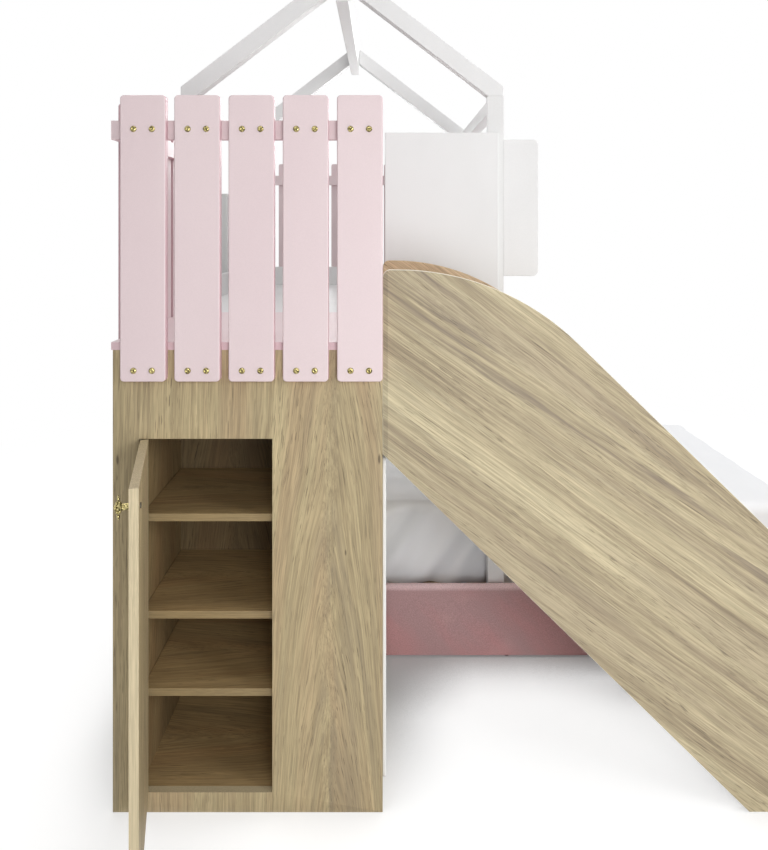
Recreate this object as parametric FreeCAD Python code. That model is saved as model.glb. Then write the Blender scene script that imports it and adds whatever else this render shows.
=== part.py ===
import FreeCAD
import Part
import math
import os

# A playhouse bed. A wood-faced storage tower stands in front of an upholstered
# bed, with a railed deck on top, a slide to its right and a loft behind it.
# Millimetres, +X to the right, +Y to the back, +Z up. The sizes below are
# taken from the tower's front left foot; the finished pieces are moved so that
# the origin lies on the floor at the middle of the whole footprint.

Vec = FreeCAD.Vector

# Boards and fits
board = 18.0
overrun = 4.0
fit_gap = 0.3
shelf_play = 0.5
parallel_limit = 1e-6

# Storage tower
tower_width = 626.0
tower_depth = 565.0
tower_height = 1072.0
deck_overhang = 4.0
base_lift = 28.0

# Doorway and cabinet behind it
doorway_left = 60.0
doorway_width = 310.0
doorway_height = 820.0
cabinet_depth = 328.0
shelf_setback = 4.0
shelf_heights = {"lower": 272.0, "middle": 454.0, "upper": 683.0}
shelf_pin_radius = 2.5
shelf_pin_length = 16.0
shelf_pin_depth = 8.0
shelf_pin_inset = 45.0
shelf_pin_play = 0.1

# Thin white board on the tower's right face
side_board_thick = 8.0
side_board_bottom = 58.0
side_board_height = 762.0
side_board_margin = 18.0
side_board_corner = 20.0

# Door
door_gap = 1.5
door_open_angle = 74.0
hinge_length = 64.0
hinge_inset = 160.0
hinge_leaf_thick = 1.4
hinge_leaf_width = 15.0
hinge_knuckle_radius = 4.0
hinge_proud = 4.4
hinge_pin_radius = 2.0
hinge_running_fit = 0.05
hinge_seat_fit = 0.02
hinge_cap_radius = 3.2
hinge_cap_thick = 2.0

# Turned brass knob
knob_drop = 46.0
knob_edge_inset = 35.0
knob_stem_radius = 6.0
knob_stem_length = 18.0
knob_rose_radius = 9.0
knob_rose_thick = 3.0
knob_half_height = 24.5
knob_tip_radius = 2.6
knob_ball_radius = 4.6
knob_neck_radius = 2.2
knob_belly_radius = 7.6
knob_screw_radius = 2.0
knob_screw_head_radius = 5.5
knob_screw_head_thick = 2.5
knob_screw_bite = 10.0

# Pickets and their rails
picket_width = 105.0
picket_gap = 19.5
picket_count = 5
side_picket_count = 4
picket_drop = 70.0
picket_height = 658.0
picket_corner = 9.0
picket_ease = 3.0
fence_rail_height = 44.0
fence_rail_drop = 56.0
screw_head_radius = 7.5
screw_head_height = 3.6
screw_shank_radius = 2.5
screw_shank_length = 30.0
screw_play = 0.1
screw_spacing = 42.4
screw_rise = 25.4
screw_deck_rise = 79.0

# Slide
slide_far_face = 457.0
slide_angle = 44.3
slide_side_rise = 168.0
slide_top_radius = 600.0
slide_flat = 34.0
slide_corner = 18.0
slide_heel_height = 830.0
slide_foot_height = 90.0
slide_foot_radius = 350.0
slide_runout = 80.0
slide_end_corner = 60.0
chute_thick = 12.0
crossbar_size = 40.0
crossbar_shares = (0.06, 0.5, 0.94)
head_batten_width = 30.0
head_batten_height = 40.0

# Bed frame and bedding
bed_length = 2084.0
bed_left = -24.0
rail_thick = 36.0
rail_bottom = 3.0
rail_top = 226.0
rail_round = 12.0
glide_radius = 9.5
glide_count = 5
glide_inset = 90.0
ledger_width = 30.0
ledger_height = 32.0
slat_thick = 18.0
slat_width = 78.0
slat_count = 14
slat_top = 186.0
mattress_side_gap = 34.0
mattress_end_gap = 33.0
mattress_thick = 249.0
mattress_corner = 30.0
mattress_crown = 6.0
mattress_draw = 5.0
cover_spread = 27.0
cover_lift = 25.0
cover_bottom = 187.0
cover_corner = 42.0
cover_crown = 10.0
cover_fold = 7.0
cover_fold_count = 9

# Loft over the head of the bed
loft_width = 1037.0
loft_depth = 1028.0
post_width = 50.0
post_depth = 40.0
post_rise = 690.0
beam_height = 70.0
curb_height = 85.0
loft_picket_count = 8
loft_side_picket_count = 7
guard_start = 6.0
guard_reveal = 20.0
guard_height = 570.0
grip_width = 111.0
grip_rise = 112.0
grip_height = 438.0
grip_corner = 18.0

# Ladder at the head end
ladder_stile_width = 40.0
ladder_stile_depth = 30.0
ladder_rise = 410.0
ladder_start = 170.0
ladder_clear_width = 400.0
rung_radius = 16.0
rung_first = 235.0
rung_top_rise = 5.0
rung_count = 5

# Open gable roof
roof_angle = 37.5
rafter_rise = 30.0
ridge_width = 40.0
ridge_height = 110.0
eaves_height = 45.0

# Places worked out from the sizes above
deck_top = tower_height + board
floor_top = base_lift + board
doorway_bottom = floor_top
doorway_right = doorway_left + doorway_width
doorway_top = doorway_bottom + doorway_height
bed_front = tower_depth
posts_front = bed_front + rail_thick
posts_back = posts_front + loft_depth
bed_back = posts_back + rail_thick
bed_right = bed_left + bed_length
loft_right = bed_left + loft_width
picket_bottom = tower_height - picket_drop
picket_top = picket_bottom + picket_height
fence_rail_z = (picket_top - fence_rail_drop - fence_rail_height, picket_top - fence_rail_drop)
picket_pitch = picket_width + picket_gap
beam_bottom = tower_height - beam_height
post_height = deck_top + post_rise
ladder_height = deck_top + ladder_rise
rung_pitch = (deck_top + rung_top_rise - rung_first) / (rung_count - 1)
slope = math.tan(math.radians(slide_angle))
slope_sin = math.sin(math.radians(slide_angle))
slope_cos = math.cos(math.radians(slide_angle))
hinge_axis = (doorway_left + door_gap / 2, -hinge_proud)

parts = {}


def box(x, y, z):
    """A block between pairs of low and high places."""
    corner = Vec(x[0], y[0], z[0])
    return Part.makeBox(x[1] - x[0], y[1] - y[0], z[1] - z[0], corner)


def rod(start, direction, radius, length):
    """A round bar."""
    return Part.makeCylinder(radius, length, start, direction)


def prism(points, y):
    """A straight-sided outline in X and Z, drawn out along Y."""
    ring = [Vec(px, y[0], pz) for px, pz in points]
    face = Part.Face(Part.makePolygon(ring + ring[:1]))
    return face.extrude(Vec(0, y[1] - y[0], 0))


def line(start, end):
    """A straight edge in the XZ plane."""
    return Part.makeLine(Vec(start[0], 0, start[1]), Vec(end[0], 0, end[1]))


def bend(centre, radius, first, last):
    """An arc in the XZ plane, from one angle in degrees to another."""
    angles = [math.radians(a) for a in (first, (first + last) / 2, last)]
    spots = [Vec(centre[0] + radius * math.cos(a), 0, centre[1] + radius * math.sin(a)) for a in angles]
    return Part.Arc(*spots).toShape()


def sheet(edges, y):
    """A closed run of edges in the XZ plane, drawn out along Y."""
    wire = Part.Wire(Part.__sortEdges__(edges))
    solid = Part.Face(wire).extrude(Vec(0, y[1] - y[0], 0))
    solid.translate(Vec(0, y[0], 0))
    return solid


def edges_along(shape, direction):
    """The straight edges of a shape that run along one direction."""
    straight = [e for e in shape.Edges if isinstance(e.Curve, Part.Line)]
    return [e for e in straight if e.Curve.Direction.cross(direction).Length < parallel_limit]


def rounded_board(width, thick, height, corner):
    """An upright board facing -Y with its four face corners rounded."""
    plate = box((0, width), (0, thick), (0, height))
    return plate.makeFillet(corner, edges_along(plate, Vec(0, 1, 0)))


def turned(shape, angle, place):
    """A copy of a shape, turned about Z and then moved."""
    copy = shape.copy()
    copy.rotate(Vec(0, 0, 0), Vec(0, 0, 1), angle)
    copy.translate(Vec(*place))
    return copy


def group(shapes):
    """Separate solids that are kept together as one node."""
    return Part.makeCompound(shapes)


# Pickets, their screws and the holes for the screws
screw_spots = [
    (picket_width / 2 + side * screw_spacing / 2, rise)
    for rise in (screw_rise, fence_rail_z[0] + fence_rail_height / 2 - picket_bottom)
    for side in (-1, 1)
]
deck_screw_spots = [
    (across, screw_deck_rise if rise == screw_rise else rise)
    for across, rise in screw_spots
]


def make_screw():
    """A dome-headed screw whose head sits on the plane Y = 0 and points to -Y."""
    radius = (screw_head_radius ** 2 + screw_head_height ** 2) / (2 * screw_head_height)
    ball = Part.makeSphere(radius, Vec(0, radius - screw_head_height, 0))
    dome = ball.common(rod(Vec(0, -screw_head_height, 0), Vec(0, 1, 0), radius, screw_head_height))
    shank = rod(Vec(0, 0, 0), Vec(0, 1, 0), screw_shank_radius, screw_shank_length)
    return dome.fuse(shank).removeSplitter()


def make_picket(spots):
    """A picket facing -Y, with eased front edges and its screw holes."""
    plate = rounded_board(picket_width, board, picket_height, picket_corner)
    front = [e for e in plate.Edges if all(v.Y < board / 2 for v in e.Vertexes)]
    plate = plate.makeFillet(picket_ease, front)
    return plate.cut(group([hole_at(spot) for spot in spots]))


def hole_at(spot):
    """The hole that one screw needs, from the picket's face to past the screw's tip."""
    start = Vec(spot[0], -overrun, spot[1])
    return rod(start, Vec(0, 1, 0), screw_shank_radius + screw_play, screw_shank_length + 2 * overrun)


screw = make_screw()
picket = make_picket(screw_spots)
deck_picket = make_picket(deck_screw_spots)
all_screws = []
all_holes = []


def set_picket(shape, spots, angle, place):
    """Places one picket and keeps its screws and holes for the pieces behind it."""
    for across, rise in spots:
        loose = screw.copy()
        loose.translate(Vec(across, 0, rise))
        all_screws.append(turned(loose, angle, place))
        all_holes.append(turned(hole_at((across, rise)), angle, place))
    return turned(shape, angle, place)


front_start = tower_width - picket_count * picket_width - (picket_count - 1) * picket_gap
for index in range(picket_count):
    spot = (front_start + index * picket_pitch, -board, picket_bottom)
    parts["front_picket_" + str(index + 1)] = set_picket(picket, screw_spots, 0, spot)

side_pickets = []
for index in range(side_picket_count):
    spot = (-deck_overhang - board, tower_depth - index * picket_pitch, picket_bottom)
    side_pickets.append(set_picket(deck_picket, deck_screw_spots, -90, spot))
parts["side_pickets"] = group(side_pickets)

loft_middle = (bed_left + loft_right) / 2
back_run = loft_picket_count * picket_width + (loft_picket_count - 1) * picket_gap
back_pickets = []
for index in range(loft_picket_count):
    spot = (loft_middle + back_run / 2 - index * picket_pitch, posts_back + board, picket_bottom)
    back_pickets.append(set_picket(picket, screw_spots, 180, spot))
parts["loft_pickets_back"] = group(back_pickets)

right_pickets = []
for index in range(loft_side_picket_count):
    spot = (loft_right + board, posts_back - picket_width - index * picket_pitch, picket_bottom)
    right_pickets.append(set_picket(picket, screw_spots, 90, spot))
parts["loft_pickets_right"] = group(right_pickets)
parts["fence_screws"] = group(all_screws)
screw_holes = group(all_holes)

# Tower carcass
side_y = (board, tower_depth)
inner_x = (board, tower_width - board)
back_y = (tower_depth - board, tower_depth)
tower_z = (0, tower_height)
front = box((0, tower_width), (0, board), tower_z)
doorway_z = (doorway_bottom, doorway_top)
front = front.cut(box((doorway_left, doorway_right), (-overrun, board + overrun), doorway_z))
parts["tower_side_left"] = box((0, board), side_y, tower_z)
parts["tower_side_right"] = box((tower_width - board, tower_width), side_y, tower_z)
parts["tower_back"] = box(inner_x, back_y, tower_z)
parts["tower_base"] = box(inner_x, (board, tower_depth - board), (base_lift, floor_top))
deck = box((-deck_overhang, tower_width), (0, tower_depth), (tower_height, deck_top))
parts["deck"] = deck.cut(screw_holes)

# Cabinet walls, shelves and the pins that carry the shelves
wall_y = (board, cabinet_depth)
wall_z = (floor_top, tower_height)
pin_holes = []
pins = []
for shelf_name, shelf_top in shelf_heights.items():
    shelf_x = (doorway_left + shelf_play, doorway_right - shelf_play)
    shelf_y = (board + shelf_setback, cabinet_depth - shelf_play)
    parts["shelf_" + shelf_name] = box(shelf_x, shelf_y, (shelf_top - board, shelf_top))
    for pin_y in (shelf_y[0] + shelf_pin_inset, shelf_y[1] - shelf_pin_inset):
        for wall_x, inward in ((doorway_left, 1), (doorway_right, -1)):
            spot = Vec(wall_x - inward * shelf_pin_depth, pin_y, shelf_top - board - shelf_pin_radius)
            pins.append(rod(spot, Vec(inward, 0, 0), shelf_pin_radius, shelf_pin_length))
            hole = rod(spot, Vec(inward, 0, 0), shelf_pin_radius + shelf_pin_play, shelf_pin_length)
            pin_holes.append(hole)
left_wall = box((doorway_left - board, doorway_left), wall_y, wall_z)
right_wall = box((doorway_right, doorway_right + board), wall_y, wall_z)
parts["cabinet_wall_left"] = left_wall.cut(group(pin_holes))
parts["cabinet_wall_right"] = right_wall.cut(group(pin_holes))
back_x = (doorway_left - board, doorway_right + board)
parts["cabinet_back"] = box(back_x, (cabinet_depth, cabinet_depth + board), wall_z)
parts["shelf_pins"] = group(pins)

# Thin white board on the right face, under the slide
side_board = rounded_board(
    tower_depth - 2 * side_board_margin, side_board_thick, side_board_height, side_board_corner
)
side_board_place = (tower_width + side_board_thick, side_board_margin, side_board_bottom)
parts["side_board"] = turned(side_board, 90, side_board_place)

# Door leaf, drawn closed and swung open about its hinge line
door_x = (doorway_left + door_gap, doorway_right - door_gap)
door_z = (doorway_bottom + door_gap, doorway_top - door_gap)
door = box(door_x, (0, board), door_z)
hinge_heights = (doorway_bottom + hinge_inset, doorway_top - hinge_inset)
third = hinge_length / 3
frame_leaves = []
door_leaves = []
hinge_pins = []


def knuckle(low, high, fit):
    """One rolled barrel of a hinge, bored for the pin."""
    start = Vec(hinge_axis[0], hinge_axis[1], low)
    barrel = rod(start, Vec(0, 0, 1), hinge_knuckle_radius, high - low)
    return barrel, rod(start, Vec(0, 0, 1), hinge_pin_radius + fit, high - low)


for middle in hinge_heights:
    hinge_z = (middle - hinge_length / 2, middle + hinge_length / 2)
    frame_x = (doorway_left - hinge_leaf_thick, doorway_left)
    leaf_x = (door_x[0], door_x[0] + hinge_leaf_thick)
    front = front.cut(box(frame_x, (-overrun, hinge_leaf_width), hinge_z))
    door = door.cut(box(leaf_x, (-overrun, hinge_leaf_width), hinge_z))
    frame_leaf = box(frame_x, (0, hinge_leaf_width), hinge_z)
    outer = ((hinge_z[0], hinge_z[0] + third), (hinge_z[1] - third, hinge_z[1]))
    for low, high in outer:
        barrel, bore = knuckle(low, high, hinge_seat_fit)
        frame_leaf = frame_leaf.fuse(barrel)
        frame_leaf = frame_leaf.fuse(box(frame_x, (hinge_axis[1], 0), (low, high)))
        frame_leaf = frame_leaf.cut(bore)
    frame_leaves.append(frame_leaf.removeSplitter())
    door_leaf = box(leaf_x, (0, hinge_leaf_width), hinge_z)
    low = outer[0][1] + fit_gap
    high = outer[1][0] - fit_gap
    barrel, bore = knuckle(low, high, hinge_running_fit)
    door_leaf = door_leaf.fuse(barrel)
    door_leaf = door_leaf.fuse(box(leaf_x, (hinge_axis[1], 0), (low, high)))
    door_leaves.append(door_leaf.cut(bore).removeSplitter())
    pin_start = Vec(hinge_axis[0], hinge_axis[1], hinge_z[0])
    pin = rod(pin_start, Vec(0, 0, 1), hinge_pin_radius, hinge_length)
    pin_top = Vec(hinge_axis[0], hinge_axis[1], hinge_z[1])
    cap = rod(pin_top, Vec(0, 0, 1), hinge_cap_radius, hinge_cap_thick)
    hinge_pins.append(pin.fuse(cap).removeSplitter())

knob_x = door_x[1] - knob_edge_inset
knob_z = door_z[1] - knob_drop
screw_start = Vec(knob_x, board, knob_z)
knob_bore_length = board + knob_screw_bite
knob_screw = rod(screw_start, Vec(0, -1, 0), knob_screw_radius, knob_bore_length)
knob_screw = knob_screw.fuse(rod(screw_start, Vec(0, 1, 0), knob_screw_head_radius, knob_screw_head_thick))
screw_bore = rod(screw_start, Vec(0, -1, 0), knob_screw_radius + screw_play, knob_bore_length)
door = door.cut(screw_bore)


def make_knob():
    """A stem on a small rose, with an upright turned bar of balls, necks and a belly."""
    rose = rod(Vec(knob_x, 0, knob_z), Vec(0, -1, 0), knob_rose_radius, knob_rose_thick)
    stem = rod(Vec(knob_x, 0, knob_z), Vec(0, -1, 0), knob_stem_radius, knob_stem_length)
    bar_y = -knob_stem_length - knob_belly_radius / 2
    bar = rod(Vec(knob_x, bar_y, knob_z - knob_half_height + knob_tip_radius), Vec(0, 0, 1),
              knob_neck_radius, 2 * (knob_half_height - knob_tip_radius))
    solid = rose.fuse([stem, bar, Part.makeSphere(knob_belly_radius, Vec(knob_x, bar_y, knob_z))])
    ball_rise = (knob_half_height - knob_tip_radius + knob_belly_radius) / 2
    for way in (-1, 1):
        ball = Part.makeSphere(knob_ball_radius, Vec(knob_x, bar_y, knob_z + way * ball_rise))
        tip_z = knob_z + way * (knob_half_height - knob_tip_radius)
        solid = solid.fuse([ball, Part.makeSphere(knob_tip_radius, Vec(knob_x, bar_y, tip_z))])
    return solid.cut(screw_bore).removeSplitter()


swing = {
    "door_panel": door,
    "door_knob": make_knob(),
    "knob_screw": knob_screw.removeSplitter(),
    "hinge_door_leaves": group(door_leaves),
}
for name, shape in swing.items():
    shape.rotate(Vec(hinge_axis[0], hinge_axis[1], 0), Vec(0, 0, 1), -door_open_angle)
    parts[name] = shape
parts["hinge_frame_leaves"] = group(frame_leaves)
parts["hinge_pins"] = group(hinge_pins)
parts["tower_front"] = front.cut(screw_holes)

# Rails behind the deck's pickets
rail_x = (-deck_overhang, tower_width)
fence_front = box(rail_x, (0, board), fence_rail_z)
fence_side = box((-deck_overhang, board - deck_overhang), (board, tower_depth), fence_rail_z)
parts["fence_rail_front"] = fence_front.cut(screw_holes)
parts["fence_rail_side"] = fence_side.cut(screw_holes)

# Slide: the chute follows the top edge of its two sides at a fixed depth
crest = (tower_width + slide_flat, deck_top + slide_side_rise - slide_top_radius)
chute_radius = slide_top_radius - slide_side_rise
foot_z = slide_foot_height + slide_foot_radius
bend_x = crest[0] + chute_radius * slope_sin
bend_z = crest[1] + chute_radius * slope_cos
run_drop = bend_z - (foot_z - slide_foot_radius * slope_cos)
foot = (bend_x + run_drop / slope + slide_foot_radius * slope_sin, foot_z)
slide_end = foot[0] + slide_runout
lip_radius = slide_foot_radius - slide_side_rise
lip_z = foot_z - lip_radius
turn_top = 90 - slide_angle
turn_foot = 270 - slide_angle


def on_arc(centre, radius, angle):
    """The place on an arc at an angle in degrees."""
    turn = math.radians(angle)
    return (centre[0] + radius * math.cos(turn), centre[1] + radius * math.sin(turn))


def slide_side(y):
    """One side of the slide, with a crest, a straight fall and a level foot."""
    top_z = crest[1] + slide_top_radius
    heel = (tower_width, slide_heel_height)
    toe = (tower_width + slide_heel_height / slope, 0)
    start = (tower_width + slide_corner, top_z - slide_corner)
    end = (slide_end - slide_end_corner, lip_z - slide_end_corner)
    edges = [
        line(heel, (tower_width, start[1])),
        bend(start, slide_corner, 180, 90),
        line((start[0], top_z), (crest[0], top_z)),
        bend(crest, slide_top_radius, 90, turn_top),
        line(on_arc(crest, slide_top_radius, turn_top), on_arc(foot, lip_radius, turn_foot)),
        bend(foot, lip_radius, turn_foot, 270),
        line((foot[0], lip_z), (end[0], lip_z)),
        bend(end, slide_end_corner, 90, 0),
        line((slide_end, end[1]), (slide_end, 0)),
        line((slide_end, 0), toe),
        line(toe, heel),
    ]
    return sheet(edges, y)


def chute_run(depth):
    """The edges of the chute's surface, moved down into the board by a depth."""
    top = chute_radius - depth
    low = slide_foot_radius + depth
    deck_z = crest[1] + top
    return [
        line((tower_width, deck_z), (crest[0], deck_z)),
        bend(crest, top, 90, turn_top),
        line(on_arc(crest, top, turn_top), on_arc(foot, low, turn_foot)),
        bend(foot, low, turn_foot, 270),
    ]


chute_y = (board, slide_far_face)
chute_edges = chute_run(0) + chute_run(chute_thick)
chute_edges.append(line((tower_width, deck_top), (tower_width, deck_top - chute_thick)))
lip_x = slide_end - board
chute_edges.append(line((foot[0], slide_foot_height), (lip_x, slide_foot_height)))
lip_under = slide_foot_height - chute_thick
chute_edges.append(line((foot[0], lip_under), (lip_x, lip_under)))
chute_edges.append(line((lip_x, slide_foot_height), (lip_x, lip_under)))
parts["slide_panel_near"] = slide_side((0, board))
parts["slide_panel_far"] = slide_side((slide_far_face, slide_far_face + board))
parts["slide_chute"] = sheet(chute_edges, chute_y)
run_start = on_arc(crest, chute_radius - chute_thick, turn_top)
run_end = on_arc(foot, slide_foot_radius + chute_thick, turn_foot)
crossbars = []
for share in crossbar_shares:
    middle = [a + share * (b - a) for a, b in zip(run_start, run_end)]
    half = (slope_cos * crossbar_size / 2, -slope_sin * crossbar_size / 2)
    down = (-slope_sin * crossbar_size, -slope_cos * crossbar_size)
    upper = (middle[0] - half[0], middle[1] - half[1])
    lower = (middle[0] + half[0], middle[1] + half[1])
    under = [(px + down[0], pz + down[1]) for px, pz in (lower, upper)]
    crossbars.append(prism([upper, lower] + under, chute_y))
parts["slide_crossbars"] = group(crossbars)
batten_top = deck_top - chute_thick
batten_x = (tower_width, tower_width + head_batten_width)
parts["slide_head_batten"] = box(batten_x, chute_y, (batten_top - head_batten_height, batten_top))

# Upholstered bed frame
rail_z = (rail_bottom, rail_top)
head_y = (posts_front + post_depth, posts_back - post_depth)
bed_x = (bed_left, bed_right)
foot_x = (bed_right - rail_thick, bed_right)


def padded_rail(x, y):
    """A bed rail with all its edges rounded by the padding."""
    rail = box(x, y, rail_z)
    return rail.makeFillet(rail_round, rail.Edges)


parts["bed_rail_front"] = padded_rail(bed_x, (bed_front, posts_front))
parts["bed_rail_back"] = padded_rail(bed_x, (posts_back, bed_back))
parts["bed_rail_head"] = padded_rail((bed_left, bed_left + rail_thick), head_y)
parts["bed_rail_foot"] = padded_rail(foot_x, (posts_front, posts_back))
glides = []
glide_step = (bed_length - 2 * glide_inset) / (glide_count - 1)
for glide_y in (bed_front + rail_thick / 2, bed_back - rail_thick / 2):
    for index in range(glide_count):
        spot = Vec(bed_left + glide_inset + index * glide_step, glide_y, 0)
        glides.append(rod(spot, Vec(0, 0, 1), glide_radius, rail_bottom))
parts["bed_glides"] = group(glides)
ledger_x = (bed_left + rail_thick, foot_x[0])
ledger_z = (slat_top - slat_thick - ledger_height, slat_top - slat_thick)
front_ledger = box(ledger_x, (head_y[0], head_y[0] + ledger_width), ledger_z)
back_ledger = box(ledger_x, (head_y[1] - ledger_width, head_y[1]), ledger_z)
parts["bed_ledgers"] = group([front_ledger, back_ledger])
slat_step = (ledger_x[1] - ledger_x[0] - slat_width) / (slat_count - 1)
slats = []
for index in range(slat_count):
    slat_start = ledger_x[0] + index * slat_step
    slats.append(box((slat_start, slat_start + slat_width), head_y, (slat_top - slat_thick, slat_top)))
parts["bed_slats"] = group(slats)


def soft_section(x, y, z, corner, crown):
    """An upright section across the bed: straight sides, round shoulders and a crowned top."""
    shoulder = corner * (1 - math.sqrt(1 / 2))
    low_front = Vec(x, y[0], z[0])
    low_back = Vec(x, y[1], z[0])
    side_front = Vec(x, y[0], z[1] - corner)
    side_back = Vec(x, y[1], z[1] - corner)
    top_front = Vec(x, y[0] + corner, z[1])
    top_back = Vec(x, y[1] - corner, z[1])
    round_front = Vec(x, y[0] + shoulder, z[1] - shoulder)
    round_back = Vec(x, y[1] - shoulder, z[1] - shoulder)
    peak = Vec(x, (y[0] + y[1]) / 2, z[1] + crown)
    edges = [
        Part.makeLine(low_back, low_front),
        Part.makeLine(low_front, side_front),
        Part.Arc(side_front, round_front, top_front).toShape(),
        Part.Arc(top_front, peak, top_back).toShape(),
        Part.Arc(top_back, round_back, side_back).toShape(),
        Part.makeLine(side_back, low_back),
    ]
    return Part.Wire(edges)


def soft_slab(x, y, z, corner, crown, draw, waves):
    """A soft slab whose ends round off and whose long sides draw in, in waves if it hangs in folds."""
    length = x[1] - x[0]
    steps = 4 * waves
    end_y = (y[0] + corner / 2, y[1] - corner / 2)
    end_z = (z[0], z[1] - corner / 2)
    sections = [soft_section(x[0], end_y, end_z, corner, crown)]
    for index in range(steps + 1):
        share = index / steps
        pull = draw * (1 - math.cos(2 * math.pi * waves * share)) / 2
        place = x[0] + corner + share * (length - 2 * corner)
        sections.append(soft_section(place, (y[0] + pull, y[1] - pull), z, corner, crown))
    sections.append(soft_section(x[1], end_y, end_z, corner, crown))
    return Part.makeLoft(sections, True, True)


# Mattress, and the cover that hangs over it in soft folds
mattress_x = (ledger_x[0] + mattress_end_gap, ledger_x[1] - mattress_end_gap)
mattress_y = (head_y[0] + mattress_side_gap, head_y[1] - mattress_side_gap)
mattress_z = (slat_top, slat_top + mattress_thick)
mattress_shape = (mattress_corner, mattress_crown, mattress_draw, 1)
parts["mattress"] = soft_slab(mattress_x, mattress_y, mattress_z, *mattress_shape)
cover_x = (mattress_x[0] - cover_spread, mattress_x[1] + cover_spread)
cover_y = (mattress_y[0] - cover_spread, mattress_y[1] + cover_spread)
cover_z = (cover_bottom, mattress_z[1] + cover_lift)
cover = soft_slab(cover_x, cover_y, cover_z, cover_corner, cover_crown, cover_fold, cover_fold_count)
hollow = soft_slab(
    (mattress_x[0] - fit_gap, mattress_x[1] + fit_gap),
    (mattress_y[0] - fit_gap, mattress_y[1] + fit_gap),
    (mattress_z[0], mattress_z[1] + fit_gap),
    *mattress_shape,
)
parts["bed_cover"] = cover.cut(hollow)

# Loft posts, beams, floor and curbs
post_x = ((bed_left, bed_left + post_width), (loft_right - post_width, loft_right))
post_y = ((posts_front, posts_front + post_depth), (posts_back - post_depth, posts_back))
between_x = (post_x[0][1], post_x[1][0])
beam_z = (beam_bottom, tower_height)
posts = [box(px, py, (0, post_height)) for px in post_x for py in post_y]
parts["loft_posts"] = group([post.cut(screw_holes) for post in posts])
parts["loft_beams_long"] = group([box(between_x, py, beam_z).cut(screw_holes) for py in post_y])
left_x = (bed_left, bed_left + post_depth)
right_x = (loft_right - post_depth, loft_right)
parts["loft_beams_side"] = group([box(px, head_y, beam_z).cut(screw_holes) for px in (left_x, right_x)])
loft_floor = box((bed_left, loft_right), (bed_front, posts_back), (tower_height, deck_top))
parts["loft_floor"] = loft_floor.cut(group(posts))
curb_z = (deck_top, deck_top + curb_height)
curb_left = box((bed_left, bed_left + board), head_y, curb_z)
curb_right = box((loft_right - board, loft_right), head_y, curb_z)
parts["loft_curbs_side"] = group([curb_left, curb_right])
parts["loft_curb_back"] = box(between_x, (posts_back - board, posts_back), curb_z)
loft_rail_back = box(between_x, (posts_back - board, posts_back), fence_rail_z)
loft_rail_right = box((loft_right - board, loft_right), head_y, fence_rail_z)
parts["loft_rail_back"] = loft_rail_back.cut(screw_holes)
parts["loft_rail_right"] = loft_rail_right.cut(screw_holes)

# White guard board behind the slide, and the grip board beside the front post
guard_x = (tower_width + guard_start, loft_right - guard_reveal)
parts["guard_front"] = box(guard_x, (posts_front - board, posts_front), (deck_top, deck_top + guard_height))
grip = box((0, grip_width), (0, board), (0, grip_height))
outer_edges = [e for e in edges_along(grip, Vec(0, 1, 0)) if e.CenterOfMass.x > grip_width / 2]
grip = grip.makeFillet(grip_corner, outer_edges)
parts["grip_board"] = turned(grip, 0, (loft_right, posts_front, deck_top + grip_rise))

# Ladder at the head end
stile_x = (bed_left - ladder_stile_width, bed_left)
stile_start = head_y[0] + ladder_start
stile_end = stile_start + ladder_stile_depth + ladder_clear_width
stiles = [box(stile_x, (sy, sy + ladder_stile_depth), (0, ladder_height)) for sy in (stile_start, stile_end)]
parts["ladder_stiles"] = group(stiles)
rung_x = bed_left - ladder_stile_width / 2
rung_y = stile_start + ladder_stile_depth
rung_heights = [rung_first + index * rung_pitch for index in range(rung_count)]
rungs = [rod(Vec(rung_x, rung_y, rz), Vec(0, 1, 0), rung_radius, ladder_clear_width) for rz in rung_heights]
parts["ladder_rungs"] = group(rungs)

# Open gable roof frame on the posts
pitch = math.tan(math.radians(roof_angle))
ridge_x = (loft_middle - ridge_width / 2, loft_middle + ridge_width / 2)
rafter_half = ridge_x[0] - bed_left
rafter_low = post_height + (rafter_half - post_width) * pitch
rafter_high = post_height + rafter_rise + rafter_half * pitch
left_rafter = [
    (bed_left, post_height),
    (bed_left + post_width, post_height),
    (ridge_x[0], rafter_low),
    (ridge_x[0], rafter_high),
    (bed_left, post_height + rafter_rise),
]
right_rafter = [(2 * loft_middle - px, pz) for px, pz in left_rafter]
parts["roof_rafters"] = group([prism(shape, py) for shape in (left_rafter, right_rafter) for py in post_y])
parts["roof_ridge"] = box(ridge_x, (posts_front, posts_back), (rafter_high - ridge_height, rafter_high))
eaves_z = (post_height - eaves_height, post_height)
parts["roof_eaves"] = group([box(px, head_y, eaves_z) for px in (left_x, right_x)])

# Origin: on the floor, at the middle of the whole footprint
whole = group(list(parts.values())).BoundBox
shift = Vec(-(whole.XMin + whole.XMax) / 2, -(whole.YMin + whole.YMax) / 2, 0)
os.makedirs("parts", exist_ok=True)
for name, shape in parts.items():
    shape.translate(shift)
    shape.exportStep("parts/" + name + ".step")
hinge_place = (hinge_axis[0] + shift.x, hinge_axis[1] + shift.y)
print("pieces", len(parts), "size", whole.XLength, whole.YLength, whole.ZLength)
print("shift", shift.x, shift.y, "hinge line", hinge_place)
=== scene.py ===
"""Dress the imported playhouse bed: finishes, soft goods, fittings, camera and light."""

import logging
import math
from dataclasses import dataclass
from enum import Enum
from typing import Iterable, Union

import bmesh
import bpy
import numpy as np
from mathutils import Matrix, Vector


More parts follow.
